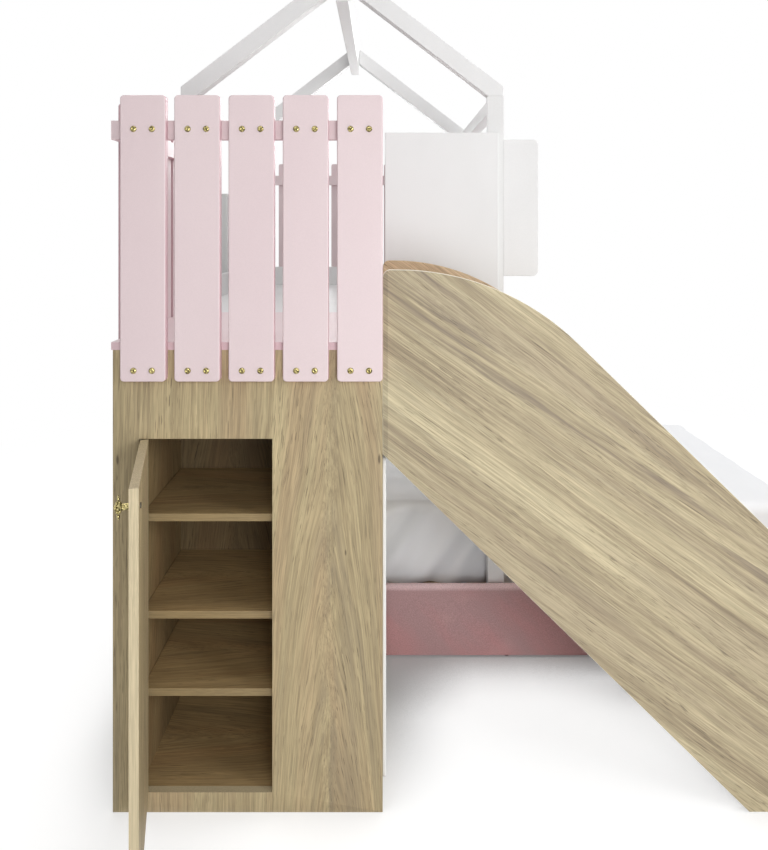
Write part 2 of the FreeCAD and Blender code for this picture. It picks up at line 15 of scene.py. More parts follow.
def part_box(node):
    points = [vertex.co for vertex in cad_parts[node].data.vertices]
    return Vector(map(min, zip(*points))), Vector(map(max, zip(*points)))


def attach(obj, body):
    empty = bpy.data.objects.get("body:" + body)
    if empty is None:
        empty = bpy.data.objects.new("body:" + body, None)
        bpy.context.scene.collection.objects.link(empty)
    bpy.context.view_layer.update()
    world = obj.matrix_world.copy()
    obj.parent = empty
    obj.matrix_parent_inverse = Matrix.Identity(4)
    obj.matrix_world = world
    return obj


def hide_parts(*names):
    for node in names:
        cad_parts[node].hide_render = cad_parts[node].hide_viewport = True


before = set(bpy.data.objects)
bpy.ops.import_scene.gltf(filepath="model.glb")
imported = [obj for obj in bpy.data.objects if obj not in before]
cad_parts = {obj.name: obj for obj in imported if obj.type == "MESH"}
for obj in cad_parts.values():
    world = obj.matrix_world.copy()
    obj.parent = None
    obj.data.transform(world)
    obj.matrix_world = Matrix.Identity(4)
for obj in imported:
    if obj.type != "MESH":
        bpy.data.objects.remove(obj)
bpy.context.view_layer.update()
LOG = logging.getLogger("playhouse_bed")

Vec = tuple[float, float, float]
Colour = tuple[float, float, float]
Array = np.ndarray
Material = bpy.types.Material
Object = bpy.types.Object
Socket = bpy.types.NodeSocket
Link = Union[Socket, float, Vec, Colour]

FIXED = "frame"
SWINGING = "door"
TINY = 1e-9
FLUTES = 8
WELD_DISTANCE = 1e-5
COPLANAR_ANGLE = math.radians(0.5)
ARRIS_ANGLE = math.radians(50.0)
FRICTION = 12.0
GRAVITY_SHARE = 0.35
CLOTH = {
    "quality": 7, "mass": 0.35, "tension_stiffness": 14.0, "compression_stiffness": 14.0,
    "shear_stiffness": 5.0, "bending_stiffness": 1.6, "air_damping": 3.0,
}


class Grain(Enum):
    """Which way a board's figure runs, as its directions across and along the grain."""

    UPRIGHT_FRONT = ((1.0, 0.0, 0.0), (0.0, 0.0, 1.0))
    UPRIGHT_SIDE = ((0.0, 1.0, 0.0), (0.0, 0.0, 1.0))
    UPRIGHT_DOOR = ((0.2756, -0.9613, 0.0), (0.0, 0.0, 1.0))
    LYING_X = ((0.0, 1.0, 0.0), (1.0, 0.0, 0.0))
    LYING_Y = ((1.0, 0.0, 0.0), (0.0, 1.0, 0.0))
    SLOPING = ((0.5878, 0.0, 0.8090), (0.8090, 0.0, -0.5878))


class Facing(Enum):
    """The way a row of pickets or a rail looks, as its outward direction."""

    FRONT = (0.0, -1.0, 0.0)
    LEFT = (-1.0, 0.0, 0.0)
    BACK = (0.0, 1.0, 0.0)
    RIGHT = (1.0, 0.0, 0.0)
    UP = (0.0, 0.0, 1.0)


class Tree:
    """Wires the nodes of one material, from Object coordinates to the shader."""

    def __init__(self, name: str) -> None:
        """Start a material that has only its output and a Principled shader.

        Args:
            name: The material's name.
        """
        self.material = bpy.data.materials.new(name)
        self.material.use_nodes = True
        self.nodes = self.material.node_tree.nodes
        self.links = self.material.node_tree.links
        self.shader = next(n for n in self.nodes if n.type == "BSDF_PRINCIPLED")
        self.coords = self.nodes.new("ShaderNodeTexCoord")

    @property
    def place(self) -> Socket:
        """The point on the piece, in Object coordinates."""
        return self.coords.outputs["Object"]

    def put(self, value: Link, socket: Socket) -> None:
        """Link a socket to another one, or set its own value.

        Args:
            value: An output socket, a number or a triple of numbers.
            socket: The input that takes it.
        """
        if isinstance(value, Socket):
            self.links.new(value, socket)
        elif socket.type == "RGBA":
            socket.default_value = (*value, 1.0)
        else:
            socket.default_value = value

    def math(self, operation: str, a: Link, b: Link = 0.0, c: Link = 0.0) -> Socket:
        """Add one sum on numbers.

        Args:
            operation: Blender's name of the sum.
            a: First number.
            b: Second number.
            c: Third number, for sums that have one.

        Returns:
            The result's socket.
        """
        node = self.nodes.new("ShaderNodeMath")
        node.operation = operation
        for socket, value in zip(node.inputs, (a, b, c)):
            self.put(value, socket)
        return node.outputs[0]

    def vector(self, operation: str, a: Link, b: Link = (0.0, 0.0, 0.0)) -> bpy.types.Node:
        """Add one sum on vectors.

        Args:
            operation: Blender's name of the sum.
            a: First vector.
            b: Second vector.

        Returns:
            The node, because some sums give a number and some a vector.
        """
        node = self.nodes.new("ShaderNodeVectorMath")
        node.operation = operation
        self.put(a, node.inputs[0])
        self.put(b, node.inputs[1])
        return node

    def parts(self, vector: Link) -> tuple[Socket, ...]:
        """Split a vector into its three numbers.

        Args:
            vector: The vector.

        Returns:
            Its parts along x, y and z.
        """
        node = self.nodes.new("ShaderNodeSeparateXYZ")
        self.put(vector, node.inputs[0])
        return tuple(node.outputs)

    def joined(self, x: Link, y: Link, z: Link) -> Socket:
        """Join three numbers into a vector.

        Args:
            x: First number.
            y: Second number.
            z: Third number.

        Returns:
            The vector.
        """
        node = self.nodes.new("ShaderNodeCombineXYZ")
        for socket, value in zip(node.inputs, (x, y, z)):
            self.put(value, socket)
        return node.outputs[0]

    def noise(self, place: Link, rate: Vec, detail: float = 2.0, rough: float = 0.5) -> Socket:
        """Add noise that is stretched by its own rate along each axis.

        Args:
            place: Where the noise is read.
            rate: Features for each metre along each axis.
            detail: Octaves added to the first.
            rough: Share of each octave in the next.

        Returns:
            The noise, from 0 to 1 about 0.5.
        """
        node = self.nodes.new("ShaderNodeTexNoise")
        node.inputs["Scale"].default_value = 1.0
        node.inputs["Detail"].default_value = detail
        node.inputs["Roughness"].default_value = rough
        self.links.new(self.vector("MULTIPLY", place, rate).outputs[0], node.inputs["Vector"])
        return node.outputs[0]

    def speckle(self, rate: float, detail: float = 2.0, rough: float = 0.5) -> Socket:
        """Add noise that has the same rate along every axis of the piece."""
        return self.noise(self.place, (rate, rate, rate), detail, rough)

    def ease(self, value: Link, low: float, high: float, start: float = 0.0, end: float = 1.0) -> Socket:
        """Add a smooth step.

        Args:
            value: The number that is eased.
            low: Where the step starts.
            high: Where the step ends.
            start: Result below the step.
            end: Result above the step.

        Returns:
            The eased number.
        """
        node = self.nodes.new("ShaderNodeMapRange")
        node.interpolation_type = "SMOOTHSTEP"
        for socket, number in zip(node.inputs, (value, low, high, start, end)):
            self.put(number, socket)
        return node.outputs[0]

    def mix(self, amount: Link, a: Link, b: Link) -> Socket:
        """Add a blend of two colours.

        Args:
            amount: Share of the second colour.
            a: First colour.
            b: Second colour.

        Returns:
            The blended colour.
        """
        node = self.nodes.new("ShaderNodeMix")
        node.data_type = "RGBA"
        self.put(amount, node.inputs[0])
        self.put(a, node.inputs[6])
        self.put(b, node.inputs[7])
        return node.outputs[2]

    def scaled(self, colour: Link, factor: Link) -> Socket:
        """Make a colour lighter or darker by a factor.

        Args:
            colour: The colour.
            factor: What it is multiplied by.

        Returns:
            The new colour.
        """
        node = self.vector("SCALE", colour)
        self.put(factor, node.inputs["Scale"])
        return node.outputs[0]

    def ramp(self, value: Link, stops: Iterable[tuple[float, Colour]]) -> Socket:
        """Add a colour scale.

        Args:
            value: Where the scale is read, from 0 to 1.
            stops: Places and colours of the scale, its two ends first.

        Returns:
            The colour.
        """
        node = self.nodes.new("ShaderNodeValToRGB")
        marks = node.color_ramp.elements
        for index, (spot, colour) in enumerate(stops):
            mark = marks[index] if index < 2 else marks.new(spot)
            mark.position = spot
            mark.color = (*colour, 1.0)
        self.put(value, node.inputs[0])
        return node.outputs[0]

    def facing(self, axis: Vec) -> Socket:
        """How squarely the surface faces along an axis, from 0 to 1: the size of normal times axis."""
        dot = self.vector("DOT_PRODUCT", self.coords.outputs["Normal"], axis)
        return self.math("ABSOLUTE", dot.outputs["Value"])

    def bump(self, height: Link, depth: float, strength: float) -> None:
        """Give the shader a relief.

        Args:
            height: The relief, from 0 to 1.
            depth: The relief's depth in metres.
            strength: How much of it shows.
        """
        node = self.nodes.new("ShaderNodeBump")
        node.inputs["Strength"].default_value = strength
        node.inputs["Distance"].default_value = depth
        self.put(height, node.inputs["Height"])
        self.links.new(node.outputs[0], self.shader.inputs["Normal"])

    def finish(self, colour: Link, rough: Link, **fixed: Link) -> Material:
        """Wire the shader's colour and roughness and set what is the same all over.

        Args:
            colour: Base colour.
            rough: Roughness.
            **fixed: Other sockets, with underscores for spaces in their names.

        Returns:
            The finished material.
        """
        self.put(colour, self.shader.inputs["Base Color"])
        self.put(rough, self.shader.inputs["Roughness"])
        for name, value in fixed.items():
            self.put(value, self.shader.inputs[name.replace("_", " ")])
        return self.material


@dataclass(frozen=True)
class Wood:
    """A board with a wood figure: bands, nested arches about a heart, fibres, pores and knots, and a painted
    highlight along its arrises.

    Rates are features for each metre. The end band is a place along x and the tone of the board before it,
    which makes the board darker towards that end; a knot is its place across and along and its radius, and
    the relief is its depth in metres and its strength.
    """

    name: str
    grain: Grain
    heart: Vec
    dark: Colour = (0.235, 0.183, 0.113)
    brown: Colour = (0.362, 0.286, 0.166)
    tan: Colour = (0.440, 0.356, 0.208)
    pale: Colour = (0.540, 0.446, 0.262)
    blush: Colour = (0.430, 0.315, 0.186)
    grey: Colour = (0.225, 0.182, 0.126)
    pore: Colour = (0.120, 0.088, 0.053)
    edge: Colour = (0.510, 0.430, 0.280)
    steep: float = 7.0
    sway: float = 0.055
    gain: float = 3.3
    bands: float = 11.0
    pitch: float = 1.0
    rings: float = 0.30
    streaks: float = 0.55
    dashes: float = 0.70
    lines: float = 9.0
    # The arris strength and tint paint a pale highlight along the arrises.
    arris: float = 0.45
    arris_highlight: Colour = (0.600, 0.510, 0.340)
    end_band: tuple[float, float] = (0.0, 1.0)
    knots: tuple[tuple[float, float, float], ...] = ()
    knot_stretch: float = 3.4
    end_band_blur: float = 0.001
    sway_rate: Vec = (2.6, 2.6, 1.3)
    wobble_rate: Vec = (38.0, 38.0, 7.0)
    arch_rate: Vec = (90.0, 1.0, 1.0)
    fine_rate: float = 115.0
    fibre_rate: Vec = (360.0, 360.0, 9.0)
    blush_rate: Vec = (14.0, 14.0, 0.7)
    wisp_rate: float = 24.0
    pore_rate: Vec = (560.0, 560.0, 24.0)
    cluster_rate: Vec = (22.0, 22.0, 3.0)
    line_rate: float = 390.0
    heart_blunt: float = 0.00025
    wobble: float = 0.006
    figure_share: float = 0.60
    fine_share: float = 0.40
    mean_tone: float = 0.54
    knot_share: float = 0.85
    relief: tuple[float, float] = (0.0006, 0.18)

    def board_space(self, tree: Tree) -> tuple[Socket, Vec]:
        """Turn the point into distances from the heart across, through and along the board.

        Args:
            tree: The material being wired.

        Returns:
            The turned point and the board's direction of thickness.
        """
        across, along = (Vector(v) for v in self.grain.value)
        through = along.cross(across)
        turn = Matrix((across, through, along))
        node = tree.nodes.new("ShaderNodeMapping")
        node.inputs["Rotation"].default_value = turn.to_euler("XYZ")
        node.inputs["Location"].default_value = -(turn @ Vector(self.heart))
        tree.links.new(tree.place, node.inputs["Vector"])
        return node.outputs[0], tuple(through)

    def knot_field(self, tree: Tree, place: Socket) -> Link:
        """Dark ovals: each fades out where ((u - a) / r)^2 + ((v - b) / (stretch * r))^2 nears 1.

        Args:
            tree: The material being wired.
            place: The point in the board's own directions.

        Returns:
            How much of a knot is here, from 0 to 1.
        """
        total: Link = 0.0
        for across, along, radius in self.knots:
            offset = tree.vector("SUBTRACT", place, (across, 0.0, along)).outputs[0]
            rate = (1 / radius, 0.0, 1 / (self.knot_stretch * radius))
            shrunk = tree.vector("MULTIPLY", offset, rate).outputs[0]
            far = tree.vector("LENGTH", shrunk).outputs["Value"]
            total = tree.math("MAXIMUM", total, tree.ease(far, 0.35, 1.25, 1.0, 0.0))
        return total

    def material(self) -> Material:
        """Wire the figure.

        The tone is a weighted sum of noises that are long along the grain. They are read across the flow
        sqrt(u^2 + e^2) + v / steep, whose level lines are nested arches, where u and v are the distances
        from the heart across and along. The lean 1 / steep dies away from the heart.

        Returns:
            The board's material.
        """
        tree = Tree(self.name)
        place, through = self.board_space(tree)
        u, depth, v = tree.parts(place)
        sway = tree.math("SUBTRACT", tree.noise(place, self.sway_rate), 0.5)
        bent = tree.math("MULTIPLY_ADD", sway, self.sway, u)
        reach = tree.math("SQRT", tree.math("MULTIPLY_ADD", bent, bent, self.heart_blunt))
        lean = tree.math("DIVIDE", tree.ease(reach, 0.05, 0.21, 1.0, 0.03), self.steep)
        flow = tree.math("MULTIPLY_ADD", v, lean, reach)
        flow = tree.math("MULTIPLY_ADD", tree.noise(place, self.wobble_rate), self.wobble, flow)
        layer = tree.math("ADD", depth, tree.ease(bent, -0.02, 0.02, -0.02, 0.02))
        along = tree.joined(flow, layer, v)
        shifted = tree.vector("ADD", along, (3.7, 1.3, 1.9)).outputs[0]
        arches = tree.noise(tree.joined(flow, 0.0, 0.0), self.arch_rate, 3.0, 0.65)
        broad = tree.noise(along, (self.bands, self.bands, 0.55), 3.0, 0.55)
        thin = self.fine_rate * self.pitch
        fine = tree.noise(along, (thin, thin, 2.2), 3.0, 0.62)
        fibre = tree.noise(along, self.fibre_rate, 2.0, 0.6)
        tone = tree.math("MULTIPLY", broad, self.figure_share - self.rings)
        tone = tree.math("MULTIPLY_ADD", arches, self.rings, tone)
        tone = tree.math("MULTIPLY_ADD", fine, self.fine_share, tone)
        tone = tree.math("MULTIPLY_ADD", tree.math("SUBTRACT", tone, 0.5), self.gain, self.mean_tone)
        scale = ((0.0, self.dark), (1.0, self.pale), (0.30, self.brown), (0.58, self.tan))
        colour = tree.ramp(tone, scale)
        blush = tree.ease(tree.noise(along, self.blush_rate), 0.50, 0.68, 0.0, 0.60)
        colour = tree.mix(blush, colour, self.blush)
        colour = tree.scaled(colour, tree.ease(fibre, 0.28, 0.72, 0.80, 1.16))
        wisp = self.wisp_rate * self.pitch
        smoke = tree.noise(shifted, (wisp, wisp, 1.4), 4.0, 0.62)
        near = tree.ease(v, -0.10, 0.12, 1.0, 0.55)
        near = tree.math("MULTIPLY", tree.ease(reach, 0.03, 0.16, 1.0, 0.40), near)
        smoke = tree.math("MULTIPLY", tree.ease(smoke, 0.50, 0.70, 0.0, self.streaks), near)
        colour = tree.mix(smoke, colour, self.grey)
        short = tree.ease(tree.noise(along, self.pore_rate, 1.0), 0.62, 0.70)
        cluster = tree.ease(tree.noise(along, self.cluster_rate), 0.42, 0.62, 0.35, 1.0)
        rate = (self.line_rate, self.line_rate, self.lines)
        line = tree.ease(tree.noise(shifted, rate, 1.0), 0.68, 0.74)
        dash = tree.math("MAXIMUM", tree.math("MULTIPLY", short, cluster), line)
        colour = tree.mix(tree.math("MULTIPLY", dash, self.dashes), colour, self.pore)
        if self.knots:
            knots = tree.math("MULTIPLY", self.knot_field(tree, place), self.knot_share)
            colour = tree.mix(knots, colour, self.pore)
        # A darker band along the board's end, up to a place along x.
        spot, shade = self.end_band
        if shade < 1.0:
            x = tree.parts(tree.place)[0]
            end = tree.ease(x, spot - self.end_band_blur, spot + self.end_band_blur, shade, 1.0)
            colour = tree.scaled(colour, end)
        square = tree.facing(through)
        side = tree.scaled(self.edge, tree.ease(fibre, 0.25, 0.75, 0.86, 1.10))
        colour = tree.mix(tree.ease(square, 0.30, 0.55, 0.85, 0.0), colour, side)
        # Painted highlight: the arris tint on the rounded arrises, between the board's faces and its edges.
        corner = tree.ease(square, 0.86, 0.97, 1.0, 0.0)
        corner = tree.math("MULTIPLY", tree.ease(square, 0.08, 0.25), corner)
        colour = tree.mix(tree.math("MULTIPLY", corner, self.arris), colour, self.arris_highlight)
        tree.bump(tree.math("SUBTRACT", fibre, dash), *self.relief)
        rough = tree.ease(fibre, 0.2, 0.8, 0.60, 0.48)
        return tree.finish(colour, rough, Specular_IOR_Level=0.35)


@dataclass(frozen=True)
class Paint:
    """A satin paint with a slight cloud of tone, a sprayed skin and edges tinted darker as painted shade."""

    name: str
    colour: Colour
    cloud: Colour
    edge: Colour
    face: Facing
    rough: float = 0.40
    relief: tuple[float, float] = (0.0004, 0.07)

    def material(self) -> Material:
        """Wire a cloudy colour, a painted shade by the surface's direction and a fine skin.

        Returns:
            The paint's material.
        """
        tree = Tree(self.name)
        cloud = tree.ease(tree.noise(tree.place, (5.0, 5.0, 2.2), 3.0), 0.32, 0.70)
        colour = tree.mix(cloud, self.colour, self.cloud)
        # Painted shade: faces turned away from the paint's facing take the darker edge tint.
        square = tree.facing(self.face.value)
        colour = tree.mix(tree.ease(square, 0.45, 0.85, 1.0, 0.0), colour, self.edge)
        speck = tree.speckle(420.0)
        colour = tree.scaled(colour, tree.ease(speck, 0.3, 0.7, 0.985, 1.012))
        skin = tree.speckle(260.0)
        tree.bump(skin, *self.relief)
        rough = tree.ease(skin, 0.3, 0.7, self.rough - 0.05, self.rough + 0.07)
        return tree.finish(colour, rough, Specular_IOR_Level=0.4)


@dataclass(frozen=True)
class Metal:
    """A plated or polished metal with small scratches and a darker bloom."""

    name: str
    colour: Colour
    bloom: Colour
    rough: float
    relief: tuple[float, float] = (0.0001, 0.10)

    def material(self) -> Material:
        """Wire the bloom into the colour and the scratches into the roughness.

        Returns:
            The metal's material.
        """
        tree = Tree(self.name)
        bloom = tree.ease(tree.speckle(240.0, 3.0), 0.42, 0.60)
        colour = tree.mix(bloom, self.colour, self.bloom)
        fine = tree.noise(tree.place, (700.0, 700.0, 120.0), 2.0)
        tree.bump(fine, *self.relief)
        rough = tree.ease(fine, 0.3, 0.7, self.rough - 0.05, self.rough + 0.08)
        return tree.finish(colour, rough, Metallic=1.0)


@dataclass(frozen=True)
class Velvet:
    """A short-piled velvet whose nap lies in soft patches."""

    name: str
    colour: Colour = (0.545, 0.290, 0.290)
    shade: Colour = (0.475, 0.298, 0.298)
    light: Colour = (0.620, 0.370, 0.366)
    painted_top_light: Colour = (0.860, 0.640, 0.645)
    relief: tuple[float, float] = (0.0008, 0.22)

    def material(self) -> Material:
        """Wire patches of nap, lighter brushed places, a painted highlight on upward faces, a fine grain and
        a sheen.

        Returns:
            The velvet's material.
        """
        tree = Tree(self.name)
        x, y, z = tree.parts(tree.place)
        slant = tree.joined(tree.math("ADD", tree.math("ADD", x, y), z), tree.math("SUBTRACT", x, y), z)
        patch = tree.noise(slant, (5.0, 3.0, 1.2), 3.0, 0.55)
        colour = tree.mix(tree.ease(patch, 0.36, 0.64), self.shade, self.colour)
        aside = tree.vector("ADD", tree.place, (2.1, 0.7, 0.3)).outputs[0]
        brushed = tree.noise(aside, (7.0, 7.0, 7.0))
        colour = tree.mix(tree.ease(brushed, 0.55, 0.74, 0.0, 0.35), colour, self.light)
        # Painted highlight: upward faces take a lighter tint.
        upward = tree.parts(tree.coords.outputs["Normal"])[2]
        colour = tree.mix(tree.ease(upward, 0.0, 0.9, 0.0, 0.9), colour, self.painted_top_light)
        grain = tree.speckle(360.0, 3.0, 0.8)
        colour = tree.scaled(colour, tree.ease(grain, 0.30, 0.70, 0.82, 1.18))
        tree.bump(grain, *self.relief)
        rough = tree.ease(patch, 0.3, 0.7, 0.92, 0.82)
        return tree.finish(
            colour, rough, Sheen_Weight=0.45, Sheen_Roughness=0.35, Sheen_Tint=(0.92, 0.66, 0.66),
            Specular_IOR_Level=0.15,
        )


@dataclass(frozen=True)
class Cotton:
    """A plain-woven white cotton with a faint painted fold shade and thread relief."""

    name: str
    colour: Colour = (0.910, 0.920, 0.935)
    shade: Colour = (0.790, 0.805, 0.830)
    threads: float = 2400.0
    relief: tuple[float, float] = (0.0005, 0.16)

    def material(self) -> Material:
        """Wire slanting bands of painted fold shade on the upright faces and a weave, (sin x + sin y)(sin y
        + sin z) of the piece's place.

        Returns:
            The cotton's material.
        """
        tree = Tree(self.name)
        x, y, z = tree.parts(tree.place)
        slant = tree.joined(tree.math("MULTIPLY_ADD", z, -0.65, tree.math("ADD", x, y)), y, z)
        # Painted shade: slanting fold bands darken the upright faces, not the top.
        fold_shade = tree.ease(tree.noise(slant, (10.0, 0.8, 1.6), 2.0, 0.4), 0.40, 0.66)
        upright = tree.ease(tree.parts(tree.coords.outputs["Normal"])[2], 0.15, 0.75, 1.0, 0.06)
        colour = tree.mix(tree.math("MULTIPLY", fold_shade, upright), self.colour, self.shade)
        threads = tree.vector("MULTIPLY", tree.place, (self.threads,) * 3).outputs[0]
        x, y, z = tree.parts(tree.vector("SINE", threads).outputs[0])
        weave = tree.math("MULTIPLY", tree.math("ADD", x, y), tree.math("ADD", y, z))
        slub = tree.noise(tree.place, (900.0, 240.0, 900.0), 2.0)
        relief = tree.math("MULTIPLY_ADD", weave, 0.12, slub)
        tree.bump(relief, *self.relief)
        rough = tree.ease(slub, 0.3, 0.7, 0.88, 0.78)
        return tree.finish(
            colour, rough, Sheen_Weight=0.12, Sheen_Roughness=0.5, Specular_IOR_Level=0.2
        )


@dataclass(frozen=True)
class Plastic:
    """A moulded plastic with a fine spark texture."""

    name: str
    colour: Colour = (0.030, 0.030, 0.032)
    worn: Colour = (0.075, 0.075, 0.078)
    relief: tuple[float, float] = (0.0002, 0.2)

    def material(self) -> Material:
        """Wire scuffs into the colour and the spark texture into the relief.

        Returns:
            The plastic's material.
        """
        tree = Tree(self.name)
        scuff = tree.speckle(130.0, 3.0)
        spark = tree.speckle(1500.0, 1.0)
        colour = tree.mix(tree.ease(scuff, 0.52, 0.72), self.colour, self.worn)
        tree.bump(spark, *self.relief)
        return tree.finish(colour, tree.ease(spark, 0.3, 0.7, 0.5, 0.62))


@dataclass
class Surface:
    """Points and faces of one shape, with the means to join and to make it a piece."""

    points: Array
    faces: list[list[int]]

    @staticmethod
    def strip_faces(rows: int, columns: int, closed: bool) -> Array:
        """Number the four corners of each cell of a grid.

        Args:
            rows: Points along the first parameter.
            columns: Points along the second parameter.
            closed: Whether the last column meets the first.

        Returns:
            One row of four point numbers for each cell.
        """
        steps = columns if closed else columns - 1
        row, column = np.meshgrid(np.arange(rows - 1), np.arange(steps), indexing="ij")
        after = (column + 1) % columns
        here, beyond = row * columns, (row + 1) * columns
        cells = (here + column, here + after, beyond + after, beyond + column)
        return np.stack(cells, axis=-1).reshape(-1, 4)

    @classmethod
    def tube(cls, grid: Array) -> "Surface":
        """Close a grid of rings into a solid skin with a flat face on each end.

        Args:
            grid: Points as rings by places round each ring by three.

        Returns:
            The closed skin.
        """
        rings, around = grid.shape[:2]
        faces = cls.strip_faces(rings, around, True).tolist()
        faces.append(list(range(around))[::-1])
        faces.append([(rings - 1) * around + k for k in range(around)])
        return cls(grid.reshape(-1, 3), faces)

    @classmethod
    def joined(cls, shapes: Iterable["Surface"]) -> "Surface":
        """Put several shapes into one, numbering their points on.

        Args:
            shapes: The shapes.

        Returns:
            One shape that holds them all.
        """
        points: list[Array] = []
        faces: list[list[int]] = []
        count = 0
        for shape in shapes:
            faces.extend([[count + k for k in face] for face in shape.faces])
            points.append(shape.points)
            count += len(shape.points)
        return cls(np.concatenate(points), faces)

    def piece(self, name: str, smooth: bool = True) -> Object:
        """Make an object of the shape, at the origin, with its faces turned outwards.

        Args:
            name: The piece's name.
            smooth: Whether the faces are shaded smooth.

        Returns:
            The new object.
        """
        mesh = bpy.data.meshes.new(name)
        mesh.from_pydata(self.points.tolist(), [], self.faces)
        made = bmesh.new()
        made.from_mesh(mesh)
        bmesh.ops.recalc_face_normals(made, faces=made.faces)
        made.to_mesh(mesh)
        made.free()
        mesh.polygons.foreach_set("use_smooth", np.full(len(mesh.polygons), smooth))
        item = bpy.data.objects.new(name, mesh)
        bpy.context.scene.collection.objects.link(item)
        return item


def lathe(profile: Array, base: Array, axes: Array, around: int, flutes: float = 0.0) -> Surface:
    """Turn a profile: base + h * axis + r * (1 + flutes * cos 8a) * (cos a * e1 + sin a * e2).

    Args:
        profile: Rows of radius and height, in metres.
        base: Where the axis starts.
        axes: Rows of e1, e2 and the axis.
        around: Points round the axis.
        flutes: Depth of eight flutes, as a share of the radius.

    Returns:
        The closed turning.
    """
    angle = np.linspace(0.0, 2 * np.pi, around, endpoint=False)
    wave = 1.0 + flutes * np.cos(FLUTES * angle)
    spoke = np.cos(angle)[:, None] * axes[0] + np.sin(angle)[:, None] * axes[1]
    grid = profile[:, 0, None, None] * (wave[:, None] * spoke)[None]
    grid = grid + base + profile[:, 1, None, None] * axes[2]
    return Surface.tube(grid)


def ball_profile(radius: float, centre: float, rows: int = 8, pole: float = 0.12) -> Array:
    """The half circle of a ball: radius * sin a out and centre - radius * cos a along.

    Args:
        radius: The ball's radius.
        centre: The ball's place along the axis.
        rows: Rows from pole to pole.
        pole: Angle left open at each pole.

    Returns:
        Rows of radius and height.
    """
    angle = np.linspace(pole, np.pi - pole, rows)
    return np.stack((radius * np.sin(angle), centre - radius * np.cos(angle)), axis=-1)


def side_steps(length: float, bend: float, cell: float, turns: int = 4, low_round: bool = True) -> Array:
    """Places along one side of a block: bend * (1 - tan a) in the rounded ends and even steps between.

    Args:
        length: The side's length.
        bend: Radius of the rounded ends.
        cell: About how far apart the even steps are.
        turns: Steps in each rounded end.
        low_round: Whether the low end is rounded.

    Returns:
        The places, from zero to the length.
    """
    curve = bend * (1.0 - np.tan(np.linspace(np.pi / 4, 0.0, turns + 1)))[:-1]
    start = bend if low_round else 0.0
    count = max(int(round((length - bend - start) / cell)), 1)
    flat = np.linspace(start, length - bend, count + 1)
    return np.concatenate((curve if low_round else curve[:0], flat, (length - curve)[::-1]))


def rounded_block(
    lo: Array, hi: Array, bend: float, cell: float, hood: bool = False
) -> tuple[Surface, Array]:
    """A block with rounded edges: each point p of the sharp block moves to c + bend * (p - c) / |p - c|.

    The point c is p held inside the block that is smaller by the radius on every side. A hood has no
    underside, and its sides run straight down to the hem.

    Args:
        lo: Lowest corner.
        hi: Highest corner.
        bend: Radius of the edges.
        cell: About how large the flat cells are.
        hood: Whether the underside is left open.

    Returns:
        The block and the outward direction at each point.
    """
    size = hi - lo
    steps = [side_steps(size[axis], bend, cell, low_round=not (hood and axis == 2)) for axis in range(3)]
    points: list[Array] = []
    faces: list[Array] = []
    count = 0
    for axis, end in ((0, 0), (0, 1), (1, 0), (1, 1), (2, 0), (2, 1)):
        if hood and axis == 2 and end == 0:
            continue
        second, third = (axis + 1) % 3, (axis + 2) % 3
        sheet = np.zeros((len(steps[second]), len(steps[third]), 3))
        sheet[..., axis] = size[axis] * end
        sheet[..., second] = steps[second][:, None]
        sheet[..., third] = steps[third][None, :]
        quads = Surface.strip_faces(sheet.shape[0], sheet.shape[1], False)
        faces.append(count + (quads[:, ::-1] if end == 1 else quads))
        points.append(sheet.reshape(-1, 3))
        count += sheet.shape[0] * sheet.shape[1]
    sharp = np.concatenate(points)
    unique, places = np.unique(np.round(sharp, 7), axis=0, return_inverse=True)
    quads = places.reshape(-1)[np.concatenate(faces)]
    low = np.full(3, bend)
    if hood:
        low[2] = -size[2]
    core = np.clip(unique, low, size - bend)
    out = unique - core
    if hood:
        out[:, 2] = np.where(unique[:, 2] <= size[2] - bend, 0.0, out[:, 2])
    out /= np.maximum(np.linalg.norm(out, axis=1, keepdims=True), TINY)
    return Surface(lo + core + bend * out, quads.tolist()), out


def dressed(piece: Object, material: Material) -> None:
    """Give every slot of a piece one material.

    Args:
        piece: The piece.
        material: Its finish.
    """
    if not piece.data.materials:
        piece.data.materials.append(material)
    for slot in piece.material_slots:
        slot.material = material


def eased(node: str, width: float) -> None:
    """Ease a board's arrises with a small bevel that leaves its own mesh alone.

    Coplanar triangles are joined first, so that the bevel finds no slivers to bend.

    Args:
        node: The CAD node's name.
        width: The bevel's width in metres.
    """
    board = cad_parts[node]
    weld = board.modifiers.new("weld", "WELD")
    weld.merge_threshold = WELD_DISTANCE
    plane = board.modifiers.new("plane", "DECIMATE")
    plane.decimate_type = "DISSOLVE"
    plane.angle_limit = COPLANAR_ANGLE
    bevel = board.modifiers.new("arris", "BEVEL")
    bevel.width = width
    bevel.segments = 2
    bevel.limit_method = "ANGLE"
    bevel.angle_limit = ARRIS_ANGLE
    bevel.harden_normals = True


def finished(nodes: Iterable[str], material: Material, arris: float = 0.0) -> None:
    """Dress CAD nodes in one material and ease their arrises.

    Args:
        nodes: The CAD nodes' names.
        material: Their finish.
        arris: The bevel's width in metres, or zero for none.
    """
    for node in nodes:
        dressed(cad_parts[node], material)
        if arris:
            eased(node, arris)


def smoothed(piece: Object) -> None:
    """Round a soft piece with one level of subdivision."""
    smooth = piece.modifiers.new("smooth", "SUBSURF")
    smooth.levels = smooth.render_levels = 1


def corners(node: str) -> tuple[Array, Array]:
    """A CAD node's lowest and highest corners as arrays."""
    lo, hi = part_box(node)
    return np.array(lo), np.array(hi)


def added(piece: Object, body: str, nodes: Iterable[str]) -> None:
    """Tie a new piece to its body and the CAD nodes that it stands for.

    Args:
        piece: The new piece.
        body: The body that it moves with.
        nodes: The CAD nodes that it replaces.
    """
    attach(piece, body)
    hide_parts(*nodes)
    LOG.info("%s stands for %s on %s", piece.name, ", ".join(nodes), body)


